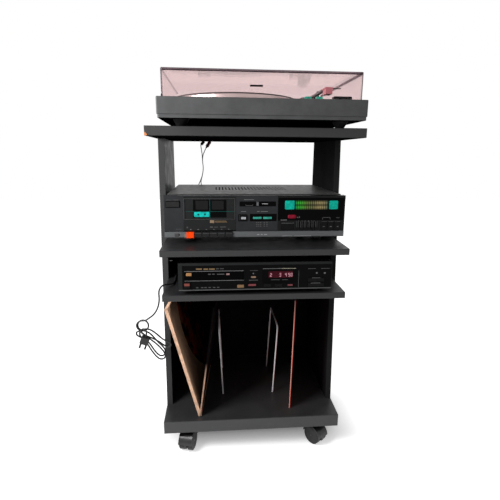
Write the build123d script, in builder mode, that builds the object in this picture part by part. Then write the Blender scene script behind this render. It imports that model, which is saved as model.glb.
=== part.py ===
from build123d import *
import os
from math import cos, pi, radians, sin, tan

os.makedirs("parts", exist_ok=True)

# Stereo music centre: a rack on castors with a turntable, a receiver with a cassette deck and a CD
# player. Millimetres, +X to the right, +Y to the back, +Z up. The origin is on the floor, in the
# middle of the whole width and depth.

# ---------------------------------------------------------------- driving dimensions: rack
rack_width = 465.0          # over the side panels
rack_back = 215.0           # Y of the rack's back
panel_t = 15.0              # side panels
shelf_t = 15.0              # CD shelf and receiver shelf
top_t = 20.0
base_t = 34.0
back_t = 4.0                # hardboard back panel
castor_height = 66.0
record_bay_h = 347.0        # base board to CD shelf
cd_bay_h = 95.0             # CD shelf to receiver shelf
open_bay_h = 247.5          # receiver shelf to top board
panel_depth_low = 275.0     # side panel's depth at the base board
panel_depth_high = 233.0    # and under the top board
base_depth = 353.0
cd_shelf_depth = 388.5
receiver_shelf_depth = 400.0
top_depth = 406.0
top_overhang = 3.5          # top board past each side panel
edge_ease = 1.0             # eased board edges

run_gap = 0.3               # between pieces that move apart
shaft_gap = 0.05            # radial clearance of a shaft in its bore

# ---------------------------------------------------------------- heights that follow
base_top = castor_height + base_t
cd_shelf_low = base_top + record_bay_h
cd_shelf_top = cd_shelf_low + shelf_t
receiver_shelf_low = cd_shelf_top + cd_bay_h
receiver_shelf_top = receiver_shelf_low + shelf_t
top_low = receiver_shelf_top + open_bay_h
top_top = top_low + top_t
inner_half = rack_width / 2 - panel_t
panel_front_low = rack_back - panel_depth_low
panel_front_high = rack_back - panel_depth_high
panel_lean = (panel_depth_low - panel_depth_high) / (top_low - base_top)


def panel_front(z):
    """Y of the side panels' sloping front edge at height z."""
    return panel_front_low + (z - base_top) * panel_lean


def save(part, name):
    """Label one finished piece and write its STEP file."""
    part.label = name
    export_step(part, f"parts/{name}.step")


# ---------------------------------------------------------------- shelf pins and their holes
pin_r = 2.5
pin_in_panel = 9.0
pin_out = 7.0               # length that carries the shelf
pin_inset = 41.0            # front pins, behind the panel's front edge
pin_rear_y = 155.0
pin_hole_deeper = 1.0
spare_pin_z = 500.0         # a pin left in a spare hole above the CD player
spare_hole_z = 795.0        # two empty holes below the top board


def shelf_pin_places(z):
    """The front and rear pin of one panel, at height z."""
    return [(panel_front(z) + pin_inset, z), (pin_rear_y, z)]


carrying_z = [cd_shelf_low - pin_r, receiver_shelf_low - pin_r]
pin_yz = [yz for z in carrying_z for yz in shelf_pin_places(z)]
spare_pin_yz = [(panel_front(spare_pin_z) + pin_inset, spare_pin_z)]
empty_holes_yz = shelf_pin_places(spare_hole_z)

# ---------------------------------------------------------------- assembly screws
screw_r = 3.5
screw_head_r = 5.0
screw_head_t = 3.0
screw_into_panel = 30.0
screw_spacing = 200.0       # front to back
screw_mid_y = (rack_back + panel_front_low) / 2
screw_x = inner_half + panel_t / 2
screw_places = [(sx * screw_x, screw_mid_y + sy * screw_spacing / 2) for sx in (-1, 1) for sy in (-1, 1)]

# ---------------------------------------------------------------- castors
wheel_r = 25.0
wheel_w = 14.0
web_t = 8.0                 # hood's rib between the two wheels
hood_t = 2.5
hood_wheel_gap = 1.5
hood_web_drop = 9.0         # web's lower edge below the axle
tyre_chamfer = 1.5
axle_r = 3.0
stem_r = 5.5
stem_boss_r = 11.0
stem_length = 26.0
castor_trail = 20.0
castor_x = 168.0
castor_front_y = -92.0
castor_rear_y = 175.0
castor_places = {
    "front_left": (-castor_x, castor_front_y, 75.0),
    "front_right": (castor_x, castor_front_y, 125.0),
    "rear_left": (-castor_x, castor_rear_y, 100.0),
    "rear_right": (castor_x, castor_rear_y, 60.0),
}

# ---------------------------------------------------------------- wire record dividers
wire_r = 2.0
divider_h = 209.0
divider_front_y = -18.0
divider_rear_y = 130.0
divider_bend = 14.0
divider_foot = 12.0         # length plugged into the base board
divider_lean = 2.9          # degrees, outwards
divider_inset = (141.5, 148.0)                   # from the left and the right side panel
divider_x = [-inner_half + divider_inset[0], inner_half - divider_inset[1]]


def divider_wire(x, lean):
    """The four corners of one divider's wire, and the direction that its legs stand in."""
    up = Vector(sin(radians(lean)), 0, cos(radians(lean)))
    foot_front = Vector(x, divider_front_y, base_top) - up * divider_foot
    foot_rear = Vector(x, divider_rear_y, base_top) - up * divider_foot
    rise = up * (divider_h + divider_foot)
    return [foot_front, foot_front + rise, foot_rear + rise, foot_rear], up


divider_wires = [divider_wire(x, lean) for x, lean in zip(divider_x, (-divider_lean, divider_lean))]

# ================================================================ rack
with BuildPart() as base_board:
    with BuildSketch(Plane.XY.offset(castor_height)):
        with Locations((0, rack_back - base_depth / 2)):
            Rectangle(rack_width, base_depth)
    extrude(amount=base_t)
    chamfer(base_board.edges().filter_by(Axis.X), edge_ease)
    with BuildSketch(Plane.XY.offset(castor_height)):
        for x, y, _ in castor_places.values():
            with Locations((x, y)):
                Circle(stem_r + shaft_gap)
    extrude(amount=stem_length + run_gap, mode=Mode.SUBTRACT)
    with BuildSketch(Plane.XY.offset(castor_height)):
        with Locations(*screw_places):
            Circle(screw_r)
    extrude(amount=base_t, mode=Mode.SUBTRACT)
    with BuildSketch(Plane.XY.offset(castor_height)):
        with Locations(*screw_places):
            Circle(screw_head_r)
    extrude(amount=screw_head_t, mode=Mode.SUBTRACT)
    for corners, up in divider_wires:
        for foot in (corners[0], corners[3]):
            with BuildSketch(Plane(origin=foot, z_dir=up)):
                Circle(wire_r)
            extrude(amount=2 * divider_foot, mode=Mode.SUBTRACT)
save(base_board.part, "base_board")

with BuildPart() as assembly_screws:
    with BuildSketch(Plane.XY.offset(castor_height)):
        with Locations(*screw_places):
            Circle(screw_head_r)
    extrude(amount=screw_head_t)
    with BuildSketch(Plane.XY.offset(castor_height)):
        with Locations(*screw_places):
            Circle(screw_r)
    extrude(amount=base_t + screw_into_panel)
save(assembly_screws.part, "assembly_screws")


def side_panel(side):
    """One side panel: side is -1 for the left one, 1 for the right one."""
    inner = side * inner_half
    outer = side * rack_width / 2
    holes = pin_yz + empty_holes_yz + (spare_pin_yz if side < 0 else [])
    with BuildPart() as panel:
        with BuildSketch(Plane.YZ.offset(min(inner, outer))):
            with BuildLine():
                Polyline(
                    (panel_front_low, base_top),
                    (rack_back, base_top),
                    (rack_back, top_low),
                    (panel_front_high, top_low),
                    close=True,
                )
            make_face()
        extrude(amount=panel_t)
        with BuildSketch(Plane.YZ.offset(inner if side > 0 else inner - pin_in_panel - pin_hole_deeper)):
            with Locations(*holes):
                Circle(pin_r)
        extrude(amount=pin_in_panel + pin_hole_deeper, mode=Mode.SUBTRACT)
        with BuildSketch(Plane.XY.offset(base_top)):
            with Locations(*[p for p in screw_places if p[0] * side > 0]):
                Circle(screw_r)
        extrude(amount=screw_into_panel, mode=Mode.SUBTRACT)
    return panel.part


save(side_panel(-1), "left_side_panel")
save(side_panel(1), "right_side_panel")

with BuildPart() as shelf_pins:
    for side in (-1, 1):
        places = pin_yz + (spare_pin_yz if side < 0 else [])
        inner = side * inner_half
        low = inner - pin_in_panel if side < 0 else inner - pin_out
        with BuildSketch(Plane.YZ.offset(low)):
            with Locations(*places):
                Circle(pin_r)
        extrude(amount=pin_in_panel + pin_out)
save(shelf_pins.part, "shelf_pins")


def shelf(low, depth, thickness, back):
    """A shelf between the side panels, with an eased front edge."""
    with BuildPart() as board:
        with BuildSketch(Plane.XY.offset(low)):
            with Locations((0, back - depth / 2)):
                Rectangle(2 * inner_half, depth)
        extrude(amount=thickness)
        front = board.faces().sort_by(Axis.Y)[0]
        chamfer(front.edges().filter_by(Axis.X), edge_ease)
    return board.part


save(shelf(cd_shelf_low, cd_shelf_depth - back_t, shelf_t, rack_back - back_t), "cd_shelf")
save(shelf(receiver_shelf_low, receiver_shelf_depth, shelf_t, rack_back), "receiver_shelf")

with BuildPart() as back_panel:
    with BuildSketch(Plane.XY.offset(base_top)):
        with Locations((0, rack_back - back_t / 2)):
            Rectangle(2 * inner_half, back_t)
    extrude(amount=receiver_shelf_low - base_top)
save(back_panel.part, "back_panel")

with BuildPart() as top_board:
    with BuildSketch(Plane.XY.offset(top_low)):
        with Locations((0, rack_back - top_depth / 2)):
            Rectangle(rack_width + 2 * top_overhang, top_depth)
    extrude(amount=top_t)
    chamfer(top_board.edges().filter_by(Axis.X), edge_ease)
save(top_board.part, "top_board")

with BuildPart() as record_dividers:
    for corners, up in divider_wires:
        with BuildLine() as wire:
            FilletPolyline(*corners, radius=divider_bend)
        with BuildSketch(Plane(origin=corners[0], z_dir=up)):
            Circle(wire_r)
        sweep(path=wire.line)
save(record_dividers.part, "record_dividers")

# ================================================================ castors
hood_r = wheel_r + hood_wheel_gap
hood_half_w = web_t / 2 + run_gap + wheel_w
hood_low_z = wheel_r - hood_web_drop
hood_top_z = castor_height - run_gap


def castor_hood(x, y, heading):
    """The swivelling hood with its stem, made about the stem's axis and turned to its heading."""
    neck_low = wheel_r + hood_r
    with BuildPart() as hood:
        with BuildSketch(Plane.XZ.offset(-web_t / 2)):
            with Locations((-castor_trail, wheel_r)):
                Circle(hood_r + hood_t / 2)
            with BuildLine():
                Polyline(
                    (-castor_trail, wheel_r),
                    (stem_boss_r / 2, wheel_r + stem_boss_r),
                    (stem_boss_r / 2, neck_low - hood_t / 2),
                    (-castor_trail, neck_low - hood_t / 2),
                    close=True,
                )
            make_face()
            with Locations((-castor_trail, hood_low_z - wheel_r)):
                Rectangle(4 * wheel_r, 2 * wheel_r, mode=Mode.SUBTRACT)
        extrude(amount=web_t)
        with BuildSketch(Plane.XZ.offset(-hood_half_w)):
            with Locations((-castor_trail, wheel_r)):
                Circle(hood_r + hood_t)
                Circle(hood_r, mode=Mode.SUBTRACT)
            with Locations((-castor_trail, hood_t)):
                Rectangle(4 * wheel_r, 2 * wheel_r, mode=Mode.SUBTRACT)
        extrude(amount=2 * hood_half_w)
        with BuildSketch(Plane.XY.offset(neck_low - hood_t)):
            Circle(stem_boss_r)
        extrude(amount=hood_top_z - neck_low + hood_t)
        with BuildSketch(Plane.XY.offset(hood_top_z)):
            Circle(stem_r)
        extrude(amount=stem_length + run_gap)
        with BuildSketch(Plane.XZ.offset(-hood_half_w)):
            with Locations((-castor_trail, wheel_r)):
                Circle(axle_r)
        extrude(amount=2 * hood_half_w)
    return Location((x, y, 0), (0, 0, heading)) * hood.part


def castor_wheels(x, y, heading):
    """The pair of wheels on one castor's axle."""
    with BuildPart() as wheels:
        for low in (-hood_half_w, web_t / 2 + run_gap):
            with BuildSketch(Plane.XZ.offset(low)):
                with Locations((-castor_trail, wheel_r)):
                    Circle(wheel_r)
                    Circle(axle_r + shaft_gap, mode=Mode.SUBTRACT)
            extrude(amount=wheel_w)
        rims = wheels.edges().filter_by(GeomType.CIRCLE).filter_by(lambda e: e.radius > hood_r / 2)
        chamfer(rims, tyre_chamfer)
    return Location((x, y, 0), (0, 0, heading)) * wheels.part


for corner, (x, y, heading) in castor_places.items():
    save(castor_hood(x, y, heading), f"{corner}_castor_hood")
    save(castor_wheels(x, y, heading), f"{corner}_castor_wheels")

# ================================================================ turntable
# ---------------------------------------------------------------- driving dimensions
deck_x = 10.0               # middle of the turntable
deck_width = 433.0
deck_depth = 360.0
deck_front = -215.0
deck_foot_h = 14.0
deck_foot_r = 17.0
deck_foot_tip_r = 9.0
deck_foot_inset = 45.0
cover_width = 414.0
tray_h = 7.5
tray_inset = 1.5
inner_corner = 1.0
plinth_h = 33.3
plinth_wall = 3.0
plinth_top_t = 4.0
plinth_fillet = 3.0
plinth_top_fillet = 1.8
platter_x = -42.0
platter_y = -45.0
platter_r = 150.0
platter_lift = 1.5          # between the plinth and the platter's rim
platter_h = 8.8
platter_rim_t = 6.0
platter_low_ease = 1.0      # chamfers of the rim's edges
platter_top_ease = 1.5
platter_plate_t = 3.5
platter_hub_r = 14.0
mat_t = 3.0
mat_r = 146.0
spindle_r = 3.6
spindle_above_mat = 11.5
spindle_below = 16.0
spindle_ease = 1.0
bearing_shaft_r = 3.0
mat_label_r = 50.0          # the mat is thinner under a record's label
mat_label_depth = 0.7
bearing_r = 9.0
bearing_h = 20.0

tray_low = top_top + deck_foot_h
plinth_low = tray_low + tray_h
plinth_top = plinth_low + plinth_h
deck_y = deck_front + deck_depth / 2
platter_low = plinth_top + platter_lift
mat_low = platter_low + platter_h
mat_top = mat_low + mat_t


def deck_outline(z, shrink=0.0, corner=plinth_fillet):
    """The turntable's rounded rectangle at height z."""
    with BuildSketch(Plane.XY.offset(z)) as outline:
        with Locations((deck_x, deck_y)):
            RectangleRounded(deck_width - 2 * shrink, deck_depth - 2 * shrink, corner)
    return outline.sketch


with BuildPart() as turntable_feet:
    with Locations(Location((deck_x, deck_y, top_top))):
        with GridLocations(deck_width - 2 * deck_foot_inset, deck_depth - 2 * deck_foot_inset, 2, 2):
            Cone(deck_foot_tip_r, deck_foot_r, deck_foot_h, align=(Align.CENTER, Align.CENTER, Align.MIN))
save(turntable_feet.part, "turntable_feet")

# ---------------------------------------------------------------- tonearm and key values
arm_x = 150.0               # pivot
arm_y = 55.0
arm_z = 921.5
arm_tube_r = 4.0
arm_front_y = -152.0        # front end of the tube
arm_stub = 62.0             # tube behind the pivot
arm_base_r = 22.0
arm_base_h = 10.0
yoke_r = 17.0
yoke_plate_t = 4.0
yoke_arm_t = 4.0
yoke_arm_w = 12.0
yoke_shaft_r = 5.0
pivot_block = 14.0
pivot_pin_r = 1.5
counterweight_r = 14.0
counterweight_l = 22.0
counterweight_gap = 18.0    # between the pivot block and the counterweight
counterweight_ease = 1.2
rest_y = -60.0
rest_w = 16.0
rest_post = 4.0
rest_above_tube = 9.0
shell_l = 34.0
shell_w = 17.0
shell_t = 3.0
cartridge_l = 26.0
cartridge_w = 14.0
cartridge_h = 10.5
finger_lift = 17.0          # length, width and thickness of the headshell's finger lift
finger_lift_w = 4.0
finger_lift_t = 1.5
key_travel = 1.5
key_lip = 3.0               # a key's cap past its shank
key_fillet = 1.2
key_y = deck_front + 25.0
key_row_x = deck_x + cover_width / 2             # the cover's right side
start_key = (key_row_x - 40.0, key_y, 38.0, 16.0, 7.5)     # middle x and y, width, depth, height
speed_keys = [(key_row_x - 113.0, key_y), (key_row_x - 89.0, key_y)]
speed_key_size = (13.0, 12.0, 6.5)

with BuildPart() as turntable_tray:
    extrude(deck_outline(tray_low, shrink=tray_inset), amount=tray_h)
    extrude(
        deck_outline(tray_low + plinth_wall, shrink=tray_inset + plinth_wall, corner=inner_corner),
        amount=tray_h,
        mode=Mode.SUBTRACT,
    )
save(turntable_tray.part, "turntable_tray")

with BuildPart() as turntable_plinth:
    extrude(deck_outline(plinth_low), amount=plinth_h)
    fillet(turntable_plinth.faces().sort_by(Axis.Z)[-1].edges(), plinth_top_fillet)
    extrude(
        deck_outline(plinth_low, shrink=plinth_wall, corner=inner_corner),
        amount=plinth_h - plinth_top_t,
        mode=Mode.SUBTRACT,
    )
    with BuildSketch(Plane.XY.offset(plinth_top - plinth_top_t - bearing_h)):
        with Locations((platter_x, platter_y)):
            Circle(bearing_r)
        with Locations((arm_x, arm_y)):
            Circle(yoke_shaft_r + plinth_wall)
    extrude(amount=bearing_h + plinth_top_t / 2)
    with BuildSketch(Plane.XY.offset(plinth_top - spindle_below - run_gap)):
        with Locations((platter_x, platter_y)):
            Circle(bearing_shaft_r + shaft_gap)
        with Locations((arm_x, arm_y)):
            Circle(yoke_shaft_r + shaft_gap)
    extrude(amount=spindle_below + bearing_h, mode=Mode.SUBTRACT)
    with BuildSketch(Plane.XY.offset(plinth_top - plinth_top_t)):
        with Locations(start_key[:2]):
            Rectangle(start_key[2] - 2 * key_lip, start_key[3] - 2 * key_lip)
        with Locations(*speed_keys):
            Rectangle(speed_key_size[0] - 2 * key_lip, speed_key_size[1] - 2 * key_lip)
    extrude(amount=plinth_top_t, mode=Mode.SUBTRACT)
save(turntable_plinth.part, "turntable_plinth")


def deck_key(x, y, width, depth, height):
    """A key on the plinth's top with its shank through the plinth."""
    with BuildPart() as key:
        with BuildSketch(Plane.XY.offset(plinth_top + key_travel + run_gap)):
            with Locations((x, y)):
                Rectangle(width, depth)
        extrude(amount=height - key_travel)
        fillet(key.faces().sort_by(Axis.Z)[-1].edges(), key_fillet)
        with BuildSketch(Plane.XY.offset(plinth_top - plinth_top_t)):
            with Locations((x, y)):
                Rectangle(width - 2 * (key_lip + run_gap), depth - 2 * (key_lip + run_gap))
        extrude(amount=plinth_top_t + key_travel + run_gap)
    return key.part


save(deck_key(*start_key), "start_key")
with BuildPart() as speed_key_pair:
    for place in speed_keys:
        add(deck_key(*place, *speed_key_size))
save(speed_key_pair.part, "speed_keys")

# The platter: a turned dish with a rim, its spindle pressed in.
with BuildPart() as platter:
    with BuildSketch(Plane.XZ) as section:
        with BuildLine():
            Polyline(
                (0, plinth_top + platter_lift),
                (platter_hub_r, plinth_top + platter_lift),
                (platter_hub_r, mat_low - platter_plate_t),
                (platter_r - platter_rim_t, mat_low - platter_plate_t),
                (platter_r - platter_rim_t, platter_low),
                (platter_r - platter_low_ease, platter_low),
                (platter_r, platter_low + platter_low_ease),
                (platter_r, mat_low - platter_top_ease),
                (platter_r - platter_top_ease, mat_low),
                (0, mat_low),
                close=True,
            )
        make_face()
    revolve(axis=Axis.Z)
    with BuildSketch(Plane.XY.offset(plinth_top - spindle_below)):
        Circle(bearing_shaft_r)
    extrude(amount=spindle_below + mat_top - plinth_top)
    with BuildSketch(Plane.XY.offset(mat_top)):
        Circle(spindle_r)
    extrude(amount=spindle_above_mat)
    chamfer(platter.edges().filter_by(GeomType.CIRCLE).sort_by(Axis.Z)[-1], spindle_ease)
save(Pos(platter_x, platter_y, 0) * platter.part, "platter")

with BuildPart() as platter_mat:
    with BuildSketch(Plane.XY.offset(mat_low)):
        with Locations((platter_x, platter_y)):
            Circle(mat_r)
            Circle(spindle_r, mode=Mode.SUBTRACT)
    extrude(amount=mat_t)
    with BuildSketch(Plane.XY.offset(mat_top)):
        with Locations((platter_x, platter_y)):
            Circle(mat_label_r)
    extrude(amount=-mat_label_depth, mode=Mode.SUBTRACT)
save(platter_mat.part, "platter_mat")

# ---------------------------------------------------------------- tonearm
yoke_low = plinth_top + arm_base_h + run_gap

with BuildPart() as tonearm_base:
    with BuildSketch(Plane.XY.offset(plinth_top)):
        with Locations((arm_x, arm_y)):
            Circle(arm_base_r)
            Circle(yoke_shaft_r + shaft_gap, mode=Mode.SUBTRACT)
    extrude(amount=arm_base_h)
    # the arm rest: a ledge under the tube and a post beside it
    with BuildSketch(Plane.XY.offset(plinth_top)):
        with Locations((arm_x, rest_y)):
            Rectangle(rest_w, rest_w / 2)
    extrude(amount=arm_z - arm_tube_r - run_gap - plinth_top)
    with BuildSketch(Plane.XY.offset(plinth_top)):
        with Locations((arm_x + arm_tube_r + run_gap + rest_post / 2, rest_y)):
            Rectangle(rest_post, rest_w / 2)
    extrude(amount=arm_z + rest_above_tube - plinth_top)
save(tonearm_base.part, "tonearm_base")

with BuildPart() as tonearm_yoke:
    with BuildSketch(Plane.XY.offset(plinth_top - spindle_below)):
        with Locations((arm_x, arm_y)):
            Circle(yoke_shaft_r)
    extrude(amount=spindle_below + arm_base_h + run_gap)
    with BuildSketch(Plane.XY.offset(yoke_low)):
        with Locations((arm_x, arm_y)):
            Circle(yoke_r)
    extrude(amount=yoke_plate_t)
    for side in (-1, 1):
        arm_mid = arm_x + side * (pivot_block / 2 + run_gap + yoke_arm_t / 2)
        with BuildSketch(Plane.YZ.offset(arm_mid - yoke_arm_t / 2)):
            with Locations((arm_y, (yoke_low + arm_z) / 2)):
                Rectangle(yoke_arm_w, arm_z - yoke_low)
            with Locations((arm_y, arm_z)):
                Circle(yoke_arm_w / 2)
        extrude(amount=yoke_arm_t)
    with BuildSketch(Plane.YZ.offset(arm_x - yoke_r)):
        with Locations((arm_y, arm_z)):
            Circle(pivot_pin_r + shaft_gap)
    extrude(amount=2 * yoke_r, mode=Mode.SUBTRACT)
save(tonearm_yoke.part, "tonearm_yoke")

with BuildPart() as tonearm_tube:
    with BuildSketch(Plane.XZ.offset(-arm_y - arm_stub)):
        with Locations((arm_x, arm_z)):
            Circle(arm_tube_r)
    extrude(amount=arm_y + arm_stub - arm_front_y)
    with Locations((arm_x, arm_y, arm_z)):
        Box(pivot_block, pivot_block, pivot_block)
    with BuildSketch(Plane.YZ.offset(arm_x - pivot_block / 2 - run_gap - yoke_arm_t)):
        with Locations((arm_y, arm_z)):
            Circle(pivot_pin_r)
    extrude(amount=pivot_block + 2 * run_gap + 2 * yoke_arm_t)
save(tonearm_tube.part, "tonearm_tube")

with BuildPart() as headshell:
    shell_z = arm_z - shell_t
    with BuildSketch(Plane.XY.offset(shell_z)):
        with BuildLine():
            Polyline(
                (arm_x - arm_tube_r, arm_front_y),
                (arm_x + arm_tube_r, arm_front_y),
                (arm_x + shell_w / 2, arm_front_y - shell_w / 2),
                (arm_x + shell_w / 2, arm_front_y - shell_l),
                (arm_x - shell_w / 2, arm_front_y - shell_l),
                (arm_x - shell_w / 2, arm_front_y - shell_w / 2),
                close=True,
            )
        make_face()
    extrude(amount=shell_t)
    with BuildSketch(Plane.XY.offset(shell_z - cartridge_h)):
        with Locations((arm_x, arm_front_y - shell_l + cartridge_l / 2)):
            Rectangle(cartridge_w, cartridge_l)
    extrude(amount=cartridge_h)
    with BuildSketch(Plane.XY.offset(shell_z)):
        with Locations((arm_x + shell_w / 2 + finger_lift / 2, arm_front_y - shell_l + finger_lift_w)):
            Rectangle(finger_lift, finger_lift_w)
    extrude(amount=finger_lift_t)
save(headshell.part, "headshell")

with BuildPart() as counterweight:
    with BuildSketch(Plane.XZ.offset(-arm_y - pivot_block / 2 - counterweight_gap - counterweight_l)):
        with Locations((arm_x, arm_z)):
            Circle(counterweight_r)
            Circle(arm_tube_r + shaft_gap, mode=Mode.SUBTRACT)
    extrude(amount=counterweight_l)
    rims = counterweight.edges().filter_by(GeomType.CIRCLE).filter_by(lambda e: e.radius > 2 * arm_tube_r)
    chamfer(rims, counterweight_ease)
save(counterweight.part, "counterweight")

# ---------------------------------------------------------------- dust cover and its hinges
cover_front = -201.5
cover_h = 55.3
cover_t = 3.0
cover_fillet = 2.0
cover_set_in = 2.0          # its back inside the plinth's back
cover_back = deck_front + deck_depth - cover_set_in
hinge_x = 130.0             # each side of the middle
hinge_behind = 5.0          # hinge line behind and above the plinth
hinge_above = 4.0
hinge_y = deck_front + deck_depth + hinge_behind
hinge_z = plinth_top + hinge_above
hinge_pin_r = 2.0
hinge_lug_r = 4.5
hinge_lug_w = 14.0
hinge_bracket_w = 34.0
cover_low = plinth_top + run_gap

with BuildPart() as dust_cover:
    cover_y = (cover_front + cover_back) / 2
    cover_depth = cover_back - cover_front
    with BuildSketch(Plane.XY.offset(cover_low)):
        with Locations((deck_x, cover_y)):
            RectangleRounded(cover_width, cover_depth, plinth_fillet)
    extrude(amount=cover_h)
    fillet(dust_cover.faces().sort_by(Axis.Z)[-1].edges(), cover_fillet)
    with BuildSketch(Plane.XY.offset(cover_low)):
        with Locations((deck_x, cover_y)):
            Rectangle(cover_width - 2 * cover_t, cover_depth - 2 * cover_t)
    extrude(amount=cover_h - cover_t, mode=Mode.SUBTRACT)
    for side in (-1, 1):
        with BuildSketch(Plane.YZ.offset(deck_x + side * hinge_x - hinge_lug_w / 2)):
            with Locations((hinge_y, hinge_z)):
                Circle(hinge_lug_r)
            with Locations(((cover_back + hinge_y) / 2 - 0.5, hinge_z + hinge_lug_r / 2)):
                Rectangle(hinge_y - cover_back + 1, hinge_lug_r)
        extrude(amount=hinge_lug_w)
    with BuildSketch(Plane.YZ.offset(deck_x - cover_width / 2)):
        with Locations((hinge_y, hinge_z)):
            Circle(hinge_pin_r + shaft_gap)
    extrude(amount=cover_width, mode=Mode.SUBTRACT)
save(dust_cover.part, "dust_cover")

with BuildPart() as lid_hinges:
    for side in (-1, 1):
        mid = deck_x + side * hinge_x
        for ear in (-1, 1):
            ear_t = (hinge_bracket_w - hinge_lug_w) / 2 - run_gap
            ear_mid = mid + ear * (hinge_bracket_w / 2 - ear_t / 2)
            with BuildSketch(Plane.YZ.offset(ear_mid - ear_t / 2)):
                with Locations((hinge_y, hinge_z)):
                    Circle(hinge_lug_r)
                with Locations((hinge_y, hinge_z - plinth_h / 4)):
                    Rectangle(2 * hinge_behind, plinth_h / 2)
            extrude(amount=ear_t)
        with BuildSketch(Plane.YZ.offset(mid - hinge_bracket_w / 2)):
            with Locations((hinge_y, hinge_z - plinth_h / 2)):
                Rectangle(2 * hinge_behind, plinth_h / 3)
        extrude(amount=hinge_bracket_w)
        with BuildSketch(Plane.YZ.offset(mid - hinge_bracket_w / 2)):
            with Locations((hinge_y, hinge_z)):
                Circle(hinge_pin_r)
        extrude(amount=hinge_bracket_w)
save(lid_hinges.part, "lid_hinges")

# ================================================================ receiver with cassette deck
# ---------------------------------------------------------------- driving dimensions
set_x = 5.0                 # middle of the receiver
case_side_gap = 2.5         # case to the right side panel
fascia_overhang = 7.5       # fascia past the case, each side
set_h = 100.0               # fascia with the trim strip
set_front = -117.0
fascia_t = 18.0
case_back = 202.0
case_t = 1.5
case_over_fascia = 2.0
case_above_foot = 2.0       # case's lower edge above the fascia's
chassis_t = 1.5
set_foot_h = 16.0
set_foot_r = 14.0
set_foot_tip_r = 12.0
set_foot_inset = 45.0
strip_h = 14.0
strip_web_t = 2.0
strip_t = 12.0
window_t = 3.0
window_share = 0.3713       # of the fascia's width
window_edge = 3.0           # fascia right of the window
window_z = (40.0, 95.0)     # above the strip's foot
push_gap = 0.3              # round a push button
button_proud = 2.2
button_chamfer = 0.6
fascia_chamfer = 0.8

case_width = 2 * (inner_half - set_x - case_side_gap)
set_width = case_width + 2 * fascia_overhang
set_left = set_x - set_width / 2
set_right = set_x + set_width / 2
set_low = receiver_shelf_top + set_foot_h
set_top = set_low + set_h
strip_top = set_low + strip_h
fascia_low = strip_top + run_gap
set_back_of_fascia = set_front + fascia_t
window_w = window_share * set_width


def across(share):
    """X at a share of the fascia's width, from its left side."""
    return set_left + share * set_width


def control(share, up, width_share, height):
    """A control's middle x, its height above the strip's foot, its width and its height."""
    return across(share), up, width_share * set_width, height


# cassette door, with its lower edge rounded about the hinge
door_x = (across(0.1057), across(0.3901))
door_t = 8.0
door_top = set_top - 2.6
door_edge_r = 3.0
door_low = fascia_low + 1.0
door_axis_y = set_front + door_edge_r
door_axis_z = door_low + door_edge_r
door_pin_r = 1.5
door_pin_l = 2.0
door_glass_z = (43.0, 94.5)  # pane in the door, above the strip's foot
door_glass_t = 1.0
door_glass_inset = 3.5
door_mid = (door_x[0] + door_x[1]) / 2
cassette_w = 100.4
cassette_h = 63.8
cassette_t = 12.0
cassette_corner = 2.0
cassette_up = 24.0          # above the strip's foot
cassette_z = set_low + cassette_up
hub_spacing = 42.5
hub_up = 32.0
hub_r = 5.2
drive_spindle_r = 2.8
well_t = 2.0
drive_reach = 4.0           # of the drive spindles into the cassette's hubs
well_back = set_back_of_fascia + 10.0

# tape keys
key_x0 = across(0.1184)
key_pitch = 0.04253 * set_width
key_gap = 0.8
key_names = ["record_key", "play_key", "rewind_key", "forward_key", "stop_key", "pause_key"]
key_proud = 3.5
key_in = 4.0                # travel
key_shank = 6.0
record_key_drop = 1.0       # the record key is a little taller
key_chamfer = 0.7
key_behind = 1.0            # shank behind the strip

# headphone socket in the strip
jack_x = across(0.07471)
jack_z = 7.0
jack_r = 3.2

power_button = control(0.0487, 80.0, 0.0724, 13.0)
power_travel = 3.0
power_cap_t = 6.5           # cap's thickness, proud of the fascia and in its pocket
power_shank = (20.0, 6.0)
slider_slot = control(0.5083, 81.0, 0.1931, 10.4)
slider_depth = 5.0
slider_knob = (5.0, 9.0, 5.0)                    # width, height, proud of the fascia
mode_button = control(0.4315, 47.0, 0.0414, 14.0)
tuning_button = control(0.677, 26.5, 0.0713, 18.0)
preset_first = 0.7359       # middle of the first, as a share of the width
preset_pitch = 0.02115
preset_count = 6
preset_button = (27.0, 0.0193, 17.5)             # height of the middle, share of the width, height
function_first = 0.8828
function_pitch = 0.03908
function_count = 3
function_button = (26.0, 0.0363, 19.0)
level_window = control(0.5345, 47.0, 0.1287, 13.0)
level_window_depth = 1.5
power_stem = (power_button[0], power_button[1], *power_shank)
window_x = set_right - window_edge - window_w / 2
window_rect = (window_x, (window_z[0] + window_z[1]) / 2, window_w, window_z[1] - window_z[0])

buttons = [mode_button, tuning_button]
for i in range(preset_count):
    up, width_share, height = preset_button
    buttons.append(control(preset_first + i * preset_pitch, up, width_share, height))
for i in range(function_count):
    up, width_share, height = function_button
    buttons.append(control(function_first + i * function_pitch, up, width_share, height))


def face_rects(items, y, grow=0.0):
    """Rectangles on the XZ plane at y. An item: middle x, height above the strip's foot, width, height."""
    with BuildSketch(Plane.XZ.offset(-y)) as rects:
        for x, z, w, h in items:
            with Locations((x, set_low + z)):
                Rectangle(w + 2 * grow, h + 2 * grow)
    return rects.sketch


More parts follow.
